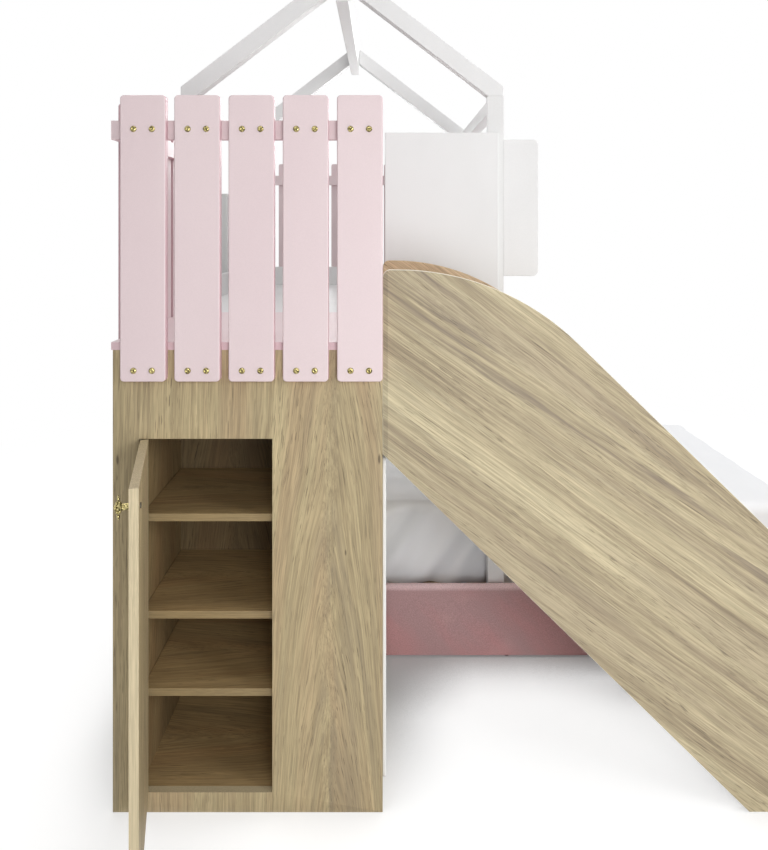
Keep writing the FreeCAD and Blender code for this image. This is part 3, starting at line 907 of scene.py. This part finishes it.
@dataclass
class Tower:
    """The storage tower with its cabinet and shelves."""

    front_heart: Vec = (-0.5055, -0.683, 0.724)
    side_heart: Vec = (-1.0, -0.300, 0.500)
    back_heart: Vec = (-0.72, -0.12, 0.35)
    rear_heart: Vec = (-0.80, -0.36, 0.30)
    wall_heart: Vec = (-0.95, -0.50, 0.20)
    shelf_heart: Vec = (-0.60, -0.50, 0.30)
    # Painted light and shade: how light each inner board's darker tints are made.
    shelf_shade_tone: float = 1.30
    wall_shade_tone: float = 0.80
    rear_shade_tone: float = 0.48
    knot_radius: float = 0.0038
    arris: float = 0.0011

    def front_finish(self) -> Wood:
        """The front board's figure: arches right of the doorway, and three knots."""
        r = self.knot_radius
        return Wood(
            "tower_front_wood", Grain.UPRIGHT_FRONT, self.front_heart,
            knots=((-0.493, 0.093, r), (0.114, 0.095, r), (0.036, -0.122, 0.6 * r)),
        )

    def side_finish(self) -> Wood:
        """The outer sides' figure."""
        return Wood("tower_side_wood", Grain.UPRIGHT_SIDE, self.side_heart, rings=0.22)

    def back_finish(self) -> Wood:
        """The back board's figure."""
        return Wood("tower_back_wood", Grain.UPRIGHT_FRONT, self.back_heart, rings=0.24)

    def inner_finish(self, name: str, grain: Grain, heart: Vec, tone: float) -> Wood:
        """The cabinet's warmer board, made darker inside the cabinet by painted shade, with a painted
        highlight along its arrises.

        Args:
            name: The finish's name.
            grain: Which way the figure runs.
            heart: Where its arches nest.
            tone: How light the board is, as a factor of the shelves' fronts: painted light and shade,
                lightest on the shelves and darkest on the back.

        Returns:
            The finish.
        """
        # Darker tints for the inside of the cabinet: painted shade.
        inner_shade_tints = {
            "dark": (0.150, 0.098, 0.044), "brown": (0.235, 0.160, 0.076), "tan": (0.295, 0.205, 0.098),
            "pale": (0.365, 0.262, 0.130), "blush": (0.285, 0.178, 0.082), "grey": (0.130, 0.092, 0.048),
            "pore": (0.070, 0.046, 0.022),
        }
        board_shade_tints = {part: tuple(tone * c for c in colour) for part, colour in inner_shade_tints.items()}
        return Wood(
            name, grain, heart, edge=(0.285, 0.213, 0.108), rings=0.20, gain=2.4, arris=0.45,
            arris_highlight=(0.360, 0.270, 0.146), **board_shade_tints,
        )

    def dress(self) -> None:
        """Ease and dress every board of the tower."""
        inner = (
            ("shelf_wood", Grain.LYING_X, self.shelf_heart, self.shelf_shade_tone),
            ("cabinet_wall_wood", Grain.UPRIGHT_SIDE, self.wall_heart, self.wall_shade_tone),
            ("cabinet_back_wood", Grain.UPRIGHT_FRONT, self.rear_heart, self.rear_shade_tone),
        )
        shelf, wall, rear = (self.inner_finish(*board) for board in inner)
        boards = (
            (self.front_finish(), ("tower_front",)),
            (self.side_finish(), ("tower_side_left", "tower_side_right")),
            (self.back_finish(), ("tower_back",)),
            (shelf, ("tower_base", "shelf_lower", "shelf_middle", "shelf_upper")),
            (wall, ("cabinet_wall_left", "cabinet_wall_right")),
            (rear, ("cabinet_back",)),
        )
        for wood, nodes in boards:
            finished(nodes, wood.material(), self.arris)
        steel = Metal("pin_steel", (0.52, 0.52, 0.53), (0.40, 0.40, 0.42), 0.30)
        finished(("shelf_pins",), steel.material())
        LOG.info("tower dressed")


@dataclass
class Door:
    """The cabinet door, its hinges and its ornate knob."""

    base: Vec = (-0.8694, -0.9484, 0.8185)
    outward: Vec = (-0.9613, -0.2756, 0.0)
    stem_length: float = 0.0215
    ring_height: float = 0.0098
    ring_width: float = 0.0056
    ring_steps: int = 40
    tube: float = 0.0026
    tube_steps: int = 12
    lobes: int = 6
    swell: float = 0.34
    flutes: float = 0.10
    around: int = 48
    finial_around: int = 16
    heart: Vec = (-0.90, -0.83, 0.45)
    arris: float = 0.0013

    def finish(self) -> Wood:
        """The door's figure, pale along its free edge, with a strong painted highlight along its arrises."""
        return Wood(
            "door_wood", Grain.UPRIGHT_DOOR, self.heart, rings=0.22, edge=(0.580, 0.492, 0.325),
            arris=0.70, arris_highlight=(0.700, 0.620, 0.440),
        )

    @property
    def axes(self) -> Array:
        """Rows of sideways, up and outward."""
        out, up = np.array(self.outward), np.array(Facing.UP.value)
        return np.array((np.cross(up, out), up, out))

    @property
    def middle(self) -> Array:
        """Where the ring is centred: the stem's length out from its base."""
        return np.array(self.base) + self.axes[2] * self.stem_length

    def stem(self) -> Surface:
        """The foot, the stout fluted stem and its collar, turned about the outward axis.

        Returns:
            The turning.
        """
        end = self.stem_length
        profile = np.array(
            [
                (0.0070, 0.0), (0.0074, 0.0006), (0.0072, 0.0014), (0.0062, 0.0020), (0.0060, 0.0030),
                (0.0060, end - 0.0074), (0.0062, end - 0.0064), (0.0070, end - 0.0058),
                (0.0072, end - 0.0050), (0.0066, end - 0.0042), (0.0046, end - 0.0036),
                (0.0026, end - 0.0030),
            ]
        )
        return lathe(profile, np.array(self.base), self.axes, self.around, flutes=self.flutes)

    def ring(self) -> Surface:
        """The oval ring: an ellipse of the outward and upward axes, with a tube that swells into lobes.

        Returns:
            The ring.
        """
        turn = np.linspace(0.0, 2 * np.pi, self.ring_steps, endpoint=False)
        lap = np.linspace(0.0, 2 * np.pi, self.tube_steps, endpoint=False)
        aside, up, out = self.axes
        spoke = np.cos(turn)[:, None] * out + np.sin(turn)[:, None] * up
        line = self.ring_width * np.cos(turn)[:, None] * out + self.ring_height * np.sin(turn)[:, None] * up
        thick = self.tube * (1.0 + self.swell * np.cos(self.lobes * turn))
        section = np.cos(lap)[None, :, None] * spoke[:, None] + np.sin(lap)[None, :, None] * aside
        grid = self.middle + line[:, None] + thick[:, None, None] * section
        faces = Surface.strip_faces(len(turn) + 1, len(lap), True) % (len(turn) * len(lap))
        return Surface(grid.reshape(-1, 3), faces.tolist())

    def dish(self) -> Surface:
        """The hollow that fills the ring: a turning whose spokes are the ring's half width and height.

        Returns:
            The dish, dished on both sides.
        """
        aside, up, out = self.axes
        oval = np.array((out * self.ring_width, up * self.ring_height, aside))
        half = np.array([(0.04, -0.0003), (0.6, -0.0006), (1.0, -0.0013)])
        profile = np.concatenate((half, half[::-1] * (1.0, -1.0)))
        return lathe(profile, self.middle, oval, self.around)

    def finials(self) -> Surface:
        """The spire above the ring and the drop of three balls below it, turned about the upward axis.

        Returns:
            Both turnings.
        """
        aside, up, out = self.axes
        upright = np.array((aside, out, up))
        top = np.array(
            [
                (0.0015, 0.0090), (0.0032, 0.0102), (0.0034, 0.0110), (0.0018, 0.0120), (0.0014, 0.0130),
                (0.0022, 0.0140), (0.0029, 0.0155), (0.0030, 0.0168), (0.0024, 0.0184), (0.0014, 0.0196),
                (0.0011, 0.0204), (0.0015, 0.0214), (0.0013, 0.0226), (0.0005, 0.0243),
            ]
        )
        balls = ((0.0021, -0.0222), (0.0034, -0.0172), (0.0020, -0.0124))
        drop = np.concatenate([ball_profile(radius, centre) for radius, centre in balls])
        turned = [lathe(profile, self.middle, upright, self.finial_around) for profile in (top, drop)]
        return Surface.joined(turned)

    def build(self, brass: Material) -> None:
        """Make the knob and dress the door.

        Args:
            brass: The fittings' metal.
        """
        shape = Surface.joined((self.stem(), self.ring(), self.dish(), self.finials()))
        knob = shape.piece("knob")
        dressed(knob, brass)
        added(knob, SWINGING, ["door_knob"])
        finished(("door_panel",), self.finish().material(), self.arris)
        finished(("hinge_door_leaves", "hinge_frame_leaves", "hinge_pins"), brass)
        dark = Metal("screw_steel", (0.150, 0.135, 0.110), (0.090, 0.080, 0.065), 0.42)
        finished(("knob_screw",), dark.material())


@dataclass
class Fence:
    """The pink deck, the pickets and rails round it and the loft, and their dome-headed screws."""

    width: float = 0.105
    pitch: float = 0.1245
    spacing: float = 0.0424
    rise: float = 0.0254
    deck_rise: float = 0.079
    head_radius: float = 0.0075
    head_height: float = 0.0036
    socket: float = 0.0027
    around: int = 12
    row_turn: float = 0.7
    head_turn: float = 1.1
    arris: float = 0.0015

    def paint(self, face: Facing) -> Paint:
        """The pink paint for boards that look one way."""
        # The edge tint is painted shade: darker pink on the faces turned away from the facing.
        return Paint(
            "pink_paint_" + face.name.lower(), (0.735, 0.605, 0.620), (0.755, 0.630, 0.642),
            (0.640, 0.430, 0.465), face,
        )

    def head(self) -> Surface:
        """One screw head about +Z: a dome and a six-sided socket, s * cos 30 / cos(a mod 60 - 30) wide.

        Returns:
            The head, with its seat at the origin.
        """
        r, h = self.head_radius, self.head_height
        angle = np.linspace(0.0, 2 * np.pi, self.around, endpoint=False)
        flat = math.cos(math.pi / 6) / np.cos(np.mod(angle, math.pi / 3) - math.pi / 6)
        round_rows = np.array([(1.0, 0.0), (0.985, 0.20), (0.90, 0.50), (0.74, 0.80), (0.52, 0.97)])
        dome = round_rows[:, 0, None] * r * np.ones(self.around)
        wall = np.array([1.0, 0.92])[:, None] * self.socket * flat
        radius = np.concatenate((dome, wall))
        height = np.concatenate((round_rows[:, 1] * h, (h, 0.42 * h)))
        level = np.broadcast_to(height[:, None], radius.shape)
        grid = np.stack((radius * np.cos(angle), radius * np.sin(angle), level), axis=-1)
        return Surface.tube(grid)

    def row(self, node: str, facing: Facing, count: int, rise: float) -> Array:
        """Where the screws of one row of pickets sit.

        Args:
            node: The CAD node that holds the row.
            facing: The way the row looks.
            count: Pickets in the row.
            rise: Height of the lower screws above the pickets' feet.

        Returns:
            One place for each screw.
        """
        lo, hi = corners(node)
        out = np.array(facing.value)
        depth, run = (0, 1) if abs(out[0]) > 0.5 else (1, 0)
        rail_lo, rail_hi = corners("fence_rail_front")
        middle = lo[run] + self.width / 2 + self.pitch * np.arange(count)
        across = (middle[:, None] + self.spacing / 2 * np.array((-1.0, 1.0))).reshape(-1)
        heights = np.array((lo[2] + rise, (rail_lo[2] + rail_hi[2]) / 2))
        spots = np.zeros((len(across), 2, 3))
        spots[..., run] = across[:, None]
        spots[..., 2] = heights
        spots[..., depth] = hi[depth] if out[depth] > 0 else lo[depth]
        return spots.reshape(-1, 3)

    def screws(self) -> Surface:
        """Every screw head, each turned a little further than the last.

        Returns:
            All the heads in one shape.
        """
        rows = [(f"front_picket_{k + 1}", Facing.FRONT, 1, self.rise) for k in range(5)]
        rows.append(("side_pickets", Facing.LEFT, 4, self.deck_rise))
        rows.append(("loft_pickets_back", Facing.BACK, 8, self.rise))
        rows.append(("loft_pickets_right", Facing.RIGHT, 7, self.rise))
        head = self.head()
        shapes = []
        for number, (node, facing, count, rise) in enumerate(rows):
            spots = self.row(node, facing, count, rise)
            turn = self.row_turn * number + self.head_turn * np.arange(len(spots))
            out = np.array(facing.value)
            up = np.array(Facing.UP.value)
            aside = np.cross(up, out)
            x, y, z = head.points.T
            flat_x = np.cos(turn)[:, None] * x - np.sin(turn)[:, None] * y
            flat_y = np.sin(turn)[:, None] * x + np.cos(turn)[:, None] * y
            points = spots[:, None] + flat_x[..., None] * aside + flat_y[..., None] * up + z[:, None] * out
            shapes += [Surface(part, head.faces) for part in points]
        return Surface.joined(shapes)

    def build(self, brass: Material) -> None:
        """Make the screws and paint the fence.

        Args:
            brass: The fittings' metal.
        """
        screws = self.screws().piece("screws")
        dressed(screws, brass)
        added(screws, FIXED, ["fence_screws"])
        front = self.paint(Facing.FRONT).material()
        side = self.paint(Facing.LEFT).material()
        # The deck's pink is a lighter copy of the pickets' pink, painted light on its top; its edge tint is
        # painted shade on its sides.
        deck = Paint(
            "deck_paint", (0.840, 0.700, 0.715), (0.860, 0.725, 0.740), (0.700, 0.520, 0.550), Facing.UP
        )
        finished([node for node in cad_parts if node.startswith("front_picket_")], front)
        finished(("loft_pickets_back",), front)
        finished(("side_pickets", "loft_pickets_right"), side)
        finished(("fence_rail_front", "loft_rail_back"), front, self.arris)
        finished(("fence_rail_side", "loft_rail_right"), side, self.arris)
        finished(("deck",), deck.material(), self.arris)
        LOG.info("fence painted")


@dataclass
class Slide:
    """The slide's two sides, its chute and the bars between."""

    near_heart: Vec = (0.75, -0.683, 0.45)
    far_heart: Vec = (0.60, -0.208, 0.80)
    bar_heart: Vec = (0.1, -0.45, 0.5)
    end_band_width: float = 0.012
    end_band_tone: float = 0.80
    arris: float = 0.0014

    def near_finish(self) -> Wood:
        """The near side's figure: yellower, with stronger streaks that run down the slope, a darker band
        along its left end and a painted highlight along its arrises.
        """
        return Wood(
            "slide_near_wood", Grain.SLOPING, self.near_heart,
            dark=(0.235, 0.186, 0.122), brown=(0.352, 0.286, 0.186), tan=(0.458, 0.384, 0.246),
            pale=(0.600, 0.522, 0.340), blush=(0.382, 0.312, 0.212), grey=(0.235, 0.188, 0.140),
            pore=(0.110, 0.084, 0.056), edge=(0.860, 0.815, 0.660), arris_highlight=(0.880, 0.840, 0.700),
            steep=30.0, sway=0.030, gain=3.4, bands=26.0, pitch=1.7, rings=0.10, streaks=1.0, lines=6.0,
            arris=0.90, end_band=(corners("slide_panel_near")[0][0] + self.end_band_width, self.end_band_tone),
        )

    def far_finish(self) -> Wood:
        """The far side's figure: a warmer brown."""
        return Wood(
            "slide_far_wood", Grain.SLOPING, self.far_heart,
            dark=(0.430, 0.300, 0.180), brown=(0.545, 0.392, 0.242), tan=(0.628, 0.462, 0.291),
            pale=(0.700, 0.536, 0.350), blush=(0.600, 0.420, 0.262), grey=(0.380, 0.265, 0.170),
            pore=(0.150, 0.095, 0.055), edge=(0.620, 0.455, 0.285),
            steep=30.0, sway=0.030, bands=20.0, pitch=1.5, rings=0.10,
        )

    def dress(self) -> None:
        """Ease and dress the slide's boards."""
        bar = Wood("slide_bar_wood", Grain.LYING_Y, self.bar_heart, rings=0.16)
        # The chute's edge tint is painted shade on its sides.
        chute = Paint(
            "chute_paint", (0.78, 0.775, 0.765), (0.81, 0.805, 0.80), (0.74, 0.735, 0.72), Facing.FRONT, 0.34
        )
        boards = (
            (self.near_finish(), ("slide_panel_near",)),
            (self.far_finish(), ("slide_panel_far",)),
            (bar, ("slide_crossbars", "slide_head_batten")),
            (chute, ("slide_chute",)),
        )
        for finish, nodes in boards:
            finished(nodes, finish.material(), self.arris)
        LOG.info("slide dressed")


@dataclass
class Loft:
    """The white loft: posts, beams, floor, guard boards, ladder and open roof."""

    white: Colour = (0.800, 0.800, 0.797)
    cloud: Colour = (0.830, 0.830, 0.828)
    # The edge tint is painted shade on the faces turned away from each board's facing.
    edge: Colour = (0.780, 0.780, 0.775)
    arris: float = 0.0018

    def dress(self) -> None:
        """Paint every white board and ease its arrises."""
        by_face = {
            Facing.FRONT: ("guard_front", "grip_board", "loft_curb_back", "loft_beams_long", "roof_rafters"),
            Facing.LEFT: (
                "side_board", "loft_posts", "loft_beams_side", "loft_curbs_side", "ladder_stiles",
                "roof_eaves", "roof_ridge",
            ),
            Facing.UP: ("loft_floor", "ladder_rungs"),
        }
        for face, nodes in by_face.items():
            paint = Paint("white_paint_" + face.name.lower(), self.white, self.cloud, self.edge, face)
            material = paint.material()
            for node in nodes:
                finished((node,), material, 0.0 if node == "ladder_rungs" else self.arris)
        LOG.info("loft painted")


@dataclass
class Bed:
    """The upholstered bed: velvet rails, slats, mattress and quilted cover."""

    rail_bend: float = 0.018
    rail_foot: float = 0.004
    rail_crown: float = 0.0016
    rail_cell: float = 0.034
    mattress_bend: float = 0.045
    mattress_cell: float = 0.040
    mattress_crown: float = 0.006
    piping: float = 0.003
    piping_width: float = 0.004
    piping_low: float = 0.030
    piping_high: float = 0.036
    cover_bend: float = 0.042
    cover_cell: float = 0.0185
    cover_thick: float = 0.011
    wave: float = 0.0110
    slack: float = 0.045
    steps: int = 26
    reach: float = 0.016
    cover_lift: float = 0.004
    cover_room: float = 0.004
    skin: float = 0.004
    slat_arris: float = 0.002
    slat_heart: Vec = (0.0, 0.4, 0.22)
    ledger_heart: Vec = (0.0, 0.4, 0.2)

    def rail(self, node: str, velvet: Material) -> None:
        """One rail: a rounded block with a tight foot, drawn in by its crown, then crowned by (1 - z^4).

        A slow swell runs along the crown.

        Args:
            node: The CAD node that the rail stands for.
            velvet: The covering.
        """
        lo, hi = corners(node)
        shape, out = rounded_block(lo, hi, self.rail_bend, self.rail_cell)
        marks = (lo[2], lo[2] + self.rail_bend, hi[2])
        shape.points[:, 2] = np.interp(shape.points[:, 2], marks, (lo[2], lo[2] + self.rail_foot, hi[2]))
        height = 2 * (shape.points[:, 2] - lo[2]) / (hi[2] - lo[2]) - 1
        run = shape.points[:, 0] + shape.points[:, 1]
        slow = np.sin(17.0 * run + 2.0 * height)
        swell = 0.55 + 0.25 * slow + 0.20 * np.sin(41.0 * run - 3.0 * height + 1.0)
        lift = self.rail_crown * ((1 - height ** 4) * np.clip(swell, 0.0, 1.0) - 1.0)
        shape.points = shape.points + out * lift[:, None]
        piece = shape.piece(node.replace("bed_rail", "velvet_rail"))
        smoothed(piece)
        dressed(piece, velvet)
        added(piece, FIXED, [node])

    def mattress(self, cotton: Material) -> Object:
        """The mattress: a rounded block whose top is crowned, with a bead of piping round both edges.

        The bead adds piping * exp(-((z - edge) / width)^2) to the sides.

        Args:
            cotton: The ticking.

        Returns:
            The mattress.
        """
        lo, hi = corners("mattress")
        inset = np.array((self.piping, self.piping, 0.0))
        crown = np.array((0.0, 0.0, self.mattress_crown))
        shape, out = rounded_block(lo + inset, hi - inset - crown, self.mattress_bend, self.mattress_cell)
        across = (shape.points - (lo + hi) / 2) / ((hi - lo) / 2)
        top = np.clip(out[:, 2], 0.0, 1.0)
        rise = self.mattress_crown * (1 - across[:, 0] ** 4) * (1 - across[:, 1] ** 4) * top
        z = shape.points[:, 2]
        edge = np.minimum(np.abs(z - lo[2] - self.piping_low), np.abs(z - hi[2] + self.piping_high))
        upright = np.clip(1.0 - np.abs(out[:, 2]), 0.0, 1.0)
        bead = self.piping * np.exp(-((edge / self.piping_width) ** 2)) * upright
        shape.points = shape.points + out * (rise + bead)[:, None]
        piece = shape.piece("mattress_block")
        smoothed(piece)
        dressed(piece, cotton)
        added(piece, FIXED, ["mattress"])
        return piece

    def cover_shape(self) -> Surface:
        """The cover before it settles: a hood with slanting waves, wave * sin(k . p), in its sides.

        Returns:
            The hood.
        """
        lo, hi = corners("bed_cover")
        lift = np.array((0.0, 0.0, self.cover_lift))
        shape, out = rounded_block(lo + 0.6 * lift, hi - lift, self.cover_bend, self.cover_cell, hood=True)
        x, y, z = shape.points.T
        run = np.where(np.abs(out[:, 1]) > np.abs(out[:, 0]), x, y)
        slant = 52.0 * (run - 0.62 * z) + 2.1 * np.sin(3.1 * run) + 1.4 * np.sin(5.3 * x + 4.1 * y)
        second = 31.0 * (run - 1.40 * z) + 2.6 * np.sin(2.3 * run + 1.0)
        sides = np.clip(1.0 - out[:, 2], 0.15, 1.0)
        wave = self.wave * (0.55 * np.sin(slant) + 0.45 * np.sin(second) - 0.55) * sides
        shape.points = shape.points + out * wave[:, None]
        return shape

    def settle(self, cover: Object, mattress: Object) -> Array:
        """Let the cover settle as cloth that is cut a little too large for the mattress.

        Args:
            cover: The hood, which gets its cloth only for this.
            mattress: What it lies on.

        Returns:
            The settled points.
        """
        scene = bpy.context.scene
        body = mattress.modifiers.new("body", "COLLISION")
        mattress.collision.thickness_outer = self.skin
        mattress.collision.cloth_friction = FRICTION
        cloth = cover.modifiers.new("cloth", "CLOTH")
        for name, value in CLOTH.items():
            setattr(cloth.settings, name, value)
        cloth.settings.shrink_min = -self.slack
        cloth.settings.effector_weights.gravity = GRAVITY_SHARE
        cloth.collision_settings.distance_min = self.skin
        cloth.point_cache.frame_start = 1
        cloth.point_cache.frame_end = self.steps
        for step in range(1, self.steps + 1):
            scene.frame_set(step)
        evaluated = cover.evaluated_get(bpy.context.evaluated_depsgraph_get())
        settled = evaluated.to_mesh()
        points = np.zeros(len(settled.vertices) * 3)
        settled.vertices.foreach_get("co", points)
        evaluated.to_mesh_clear()
        cover.modifiers.remove(cloth)
        mattress.modifiers.remove(body)
        scene.frame_set(1)
        return points.reshape(-1, 3)

    def cover(self, mattress: Object, cotton: Material) -> None:
        """Make the cover, settle it and hold it in the room that its CAD solid has.

        Args:
            mattress: What it lies on.
            cotton: The covering.
        """
        shape = self.cover_shape()
        piece = shape.piece("quilted_cover")
        start = shape.points
        moved = self.settle(piece, mattress) - start
        far = np.linalg.norm(moved, axis=1, keepdims=True)
        moved *= np.minimum(1.0, self.reach / np.maximum(far, TINY))
        lo, hi = corners("bed_cover")
        room = np.array((self.cover_room, self.cover_room, 0.0))
        settled = np.clip(start + moved, lo - room, hi + room)
        piece.data.vertices.foreach_set("co", settled.reshape(-1))
        piece.data.update()
        wall = piece.modifiers.new("wadding", "SOLIDIFY")
        wall.thickness = self.cover_thick
        wall.offset = -1.0
        smoothed(piece)
        dressed(piece, cotton)
        added(piece, FIXED, ["bed_cover"])

    def build(self) -> None:
        """Make the soft pieces and dress the slats, ledgers and glides."""
        velvet = Velvet("rose_velvet").material()
        for side in ("front", "back", "head", "foot"):
            self.rail("bed_rail_" + side, velvet)
        mattress = self.mattress(Cotton("ticking", (0.78, 0.78, 0.77), (0.73, 0.73, 0.73)).material())
        self.cover(mattress, Cotton("white_cotton").material())
        pale = {
            "dark": (0.46, 0.33, 0.19), "brown": (0.58, 0.44, 0.27), "tan": (0.66, 0.52, 0.34),
            "pale": (0.74, 0.61, 0.43), "blush": (0.62, 0.45, 0.29), "grey": (0.45, 0.34, 0.22),
            "pore": (0.30, 0.20, 0.11), "edge": (0.68, 0.54, 0.36),
        }
        slats = Wood("slat_wood", Grain.LYING_Y, self.slat_heart, streaks=0.2, **pale)
        ledgers = Wood("ledger_wood", Grain.LYING_X, self.ledger_heart, streaks=0.2, **pale)
        finished(("bed_slats",), slats.material(), self.slat_arris)
        finished(("bed_ledgers",), ledgers.material(), self.slat_arris)
        finished(("bed_glides",), Plastic("glide_plastic").material())
        LOG.info("bed built")


@dataclass(frozen=True)
class Lamp:
    """One square lamp: where it hangs, what it points at, its side and its power in watts."""

    name: str
    place: Vec
    target: Vec
    size: float
    watts: float

    def hang(self) -> None:
        """Hang the lamp, unseen by the camera."""
        data = bpy.data.lights.new(self.name, "AREA")
        data.shape = "SQUARE"
        data.size = self.size
        data.energy = self.watts
        item = bpy.data.objects.new(self.name, data)
        item.location = self.place
        aim = Vector(self.target) - Vector(self.place)
        item.rotation_euler = aim.to_track_quat("-Z", "Y").to_euler()
        item.visible_camera = False
        bpy.context.scene.collection.objects.link(item)


LAMPS = (
    Lamp("key", (6.2, -4.6, 3.4), (-0.6, -0.6, 0.7), 2.4, 200.0),
    Lamp("front", (0.45, -3.3, 1.0), (-0.35, -0.5, 0.6), 1.0, 30.0),
    Lamp("high", (0.5, -6.8, 4.0), (-0.3, -0.5, 0.7), 1.6, 70.0),
    Lamp("top", (0.0, 0.2, 6.0), (0.0, 0.2, 0.0), 5.0, 140.0),
    Lamp("side", (6.2, 0.9, 2.4), (0.0, 0.3, 0.5), 2.2, 35.0),
    Lamp("back", (0.2, 6.5, 2.5), (-0.1, 0.5, 0.6), 3.0, 215.0),
)


@dataclass
class Studio:
    """The white floor and surround, the lamps and the camera."""

    eye: Vec = (-0.3805, -2.248, 1.352)
    sensor: float = 36.0
    lens: float = 28.58
    shift: tuple[float, float] = (0.0, -0.2303)
    ambient: float = 0.17
    floor_half: float = 30.0
    floor_rows: int = 9
    floor_drop: float = 0.0005
    nook_reach: float = 0.28
    nook_samples: int = 12
    nook_step: tuple[float, float] = (0.42, 0.94)
    depth_step: tuple[float, float, float, float] = (-0.80, -0.25, 0.80, 0.16)
    glow_step: tuple[float, float] = (1.6, 3.4)
    floor_glow: float = 0.78
    floor_tone: float = 0.90
    floor_shown: float = 2.0

    def seen(self, nodes: bpy.types.Nodes, links: bpy.types.NodeLinks) -> Socket:
        """Whether a ray comes from the camera or through gloss or glass, from 0 to 1.

        Args:
            nodes: The tree's nodes.
            links: The tree's links.

        Returns:
            The greatest of the three.
        """
        path = nodes.new("ShaderNodeLightPath")
        found = path.outputs["Is Camera Ray"]
        for name in ("Is Glossy Ray", "Is Transmission Ray"):
            node = nodes.new("ShaderNodeMath")
            node.operation = "MAXIMUM"
            links.new(found, node.inputs[0])
            links.new(path.outputs[name], node.inputs[1])
            found = node.outputs[0]
        return found

    def floor(self) -> None:
        """Lay the floor: a wide sheet that glows plain white afar, keeps the lamps' shadow near the piece
        and adds a painted shadow where the piece closes it in.
        """
        rows = self.floor_rows
        side = np.linspace(-self.floor_half, self.floor_half, rows)
        x, y = np.meshgrid(side, side, indexing="ij")
        points = np.stack((x, y, np.full_like(x, -self.floor_drop)), axis=-1).reshape(-1, 3)
        faces = Surface.strip_faces(rows, rows, False).tolist()
        floor = Surface(points, faces).piece("floor", smooth=False)
        tree = Tree("floor_white")
        nodes, links = tree.nodes, tree.links
        nodes.remove(tree.shader)
        matt = nodes.new("ShaderNodeBsdfDiffuse")
        seen = self.seen(nodes, links)
        links.new(tree.mix(seen, (self.floor_tone,) * 3, (self.floor_shown,) * 3), matt.inputs["Color"])
        glow = nodes.new("ShaderNodeEmission")
        # Painted shadow: the glow is darkened by ambient occlusion, mostly behind the tower's front.
        nook = nodes.new("ShaderNodeAmbientOcclusion")
        nook.samples = self.nook_samples
        nook.inputs["Distance"].default_value = self.nook_reach
        depth = tree.ease(tree.parts(tree.place)[1], *self.depth_step)
        bare = tree.ease(nook.outputs["AO"], *self.nook_step)
        shadowed_glow = tree.math("MULTIPLY_ADD", bare, tree.math("SUBTRACT", 1.0, depth), depth)
        links.new(shadowed_glow, glow.inputs["Strength"])
        far = tree.vector("LENGTH", tree.place).outputs["Value"]
        share = tree.ease(far, *self.glow_step, self.floor_glow, 1.0)
        share = tree.math("MULTIPLY", share, seen)
        blend = nodes.new("ShaderNodeMixShader")
        links.new(share, blend.inputs[0])
        links.new(matt.outputs[0], blend.inputs[1])
        links.new(glow.outputs[0], blend.inputs[2])
        output = next(n for n in nodes if n.type == "OUTPUT_MATERIAL")
        links.new(blend.outputs[0], output.inputs["Surface"])
        dressed(floor, tree.material)

    def world(self) -> None:
        """Surround the piece with even light that looks white to the camera and to gloss."""
        world = bpy.data.worlds.new("surround")
        bpy.context.scene.world = world
        world.use_nodes = True
        nodes, links = world.node_tree.nodes, world.node_tree.links
        back = next(n for n in nodes if n.type == "BACKGROUND")
        back.inputs["Color"].default_value = (1.0, 1.0, 1.0, 1.0)
        level = nodes.new("ShaderNodeMapRange")
        links.new(self.seen(nodes, links), level.inputs["Value"])
        level.inputs["To Min"].default_value = self.ambient
        level.inputs["To Max"].default_value = 1.0
        links.new(level.outputs[0], back.inputs["Strength"])

    def camera(self) -> None:
        """Set the camera at the photograph's viewpoint, with its lens shifted down to the lower half."""
        data = bpy.data.cameras.new("camera")
        data.sensor_width = self.sensor
        data.lens = self.lens
        data.shift_x, data.shift_y = self.shift
        item = bpy.data.objects.new("camera", data)
        item.location = self.eye
        item.rotation_euler = (math.pi / 2, 0.0, 0.0)
        bpy.context.scene.collection.objects.link(item)
        bpy.context.scene.camera = item

    def build(self) -> None:
        """Set the floor, surround, lamps, camera and view."""
        self.floor()
        self.world()
        for lamp in LAMPS:
            lamp.hang()
        self.camera()
        bpy.context.scene.view_settings.view_transform = "Standard"


def main() -> None:
    """Build and dress the sub-assemblies in order."""
    logging.basicConfig(level=logging.INFO, format="%(name)s: %(message)s")
    Studio().build()
    brass = Metal("brass", (0.50, 0.43, 0.20), (0.13, 0.105, 0.040), 0.17).material()
    Tower().dress()
    Door().build(brass)
    Fence().build(brass)
    Slide().dress()
    Loft().dress()
    Bed().build()


if __name__ == "__main__":
    main()
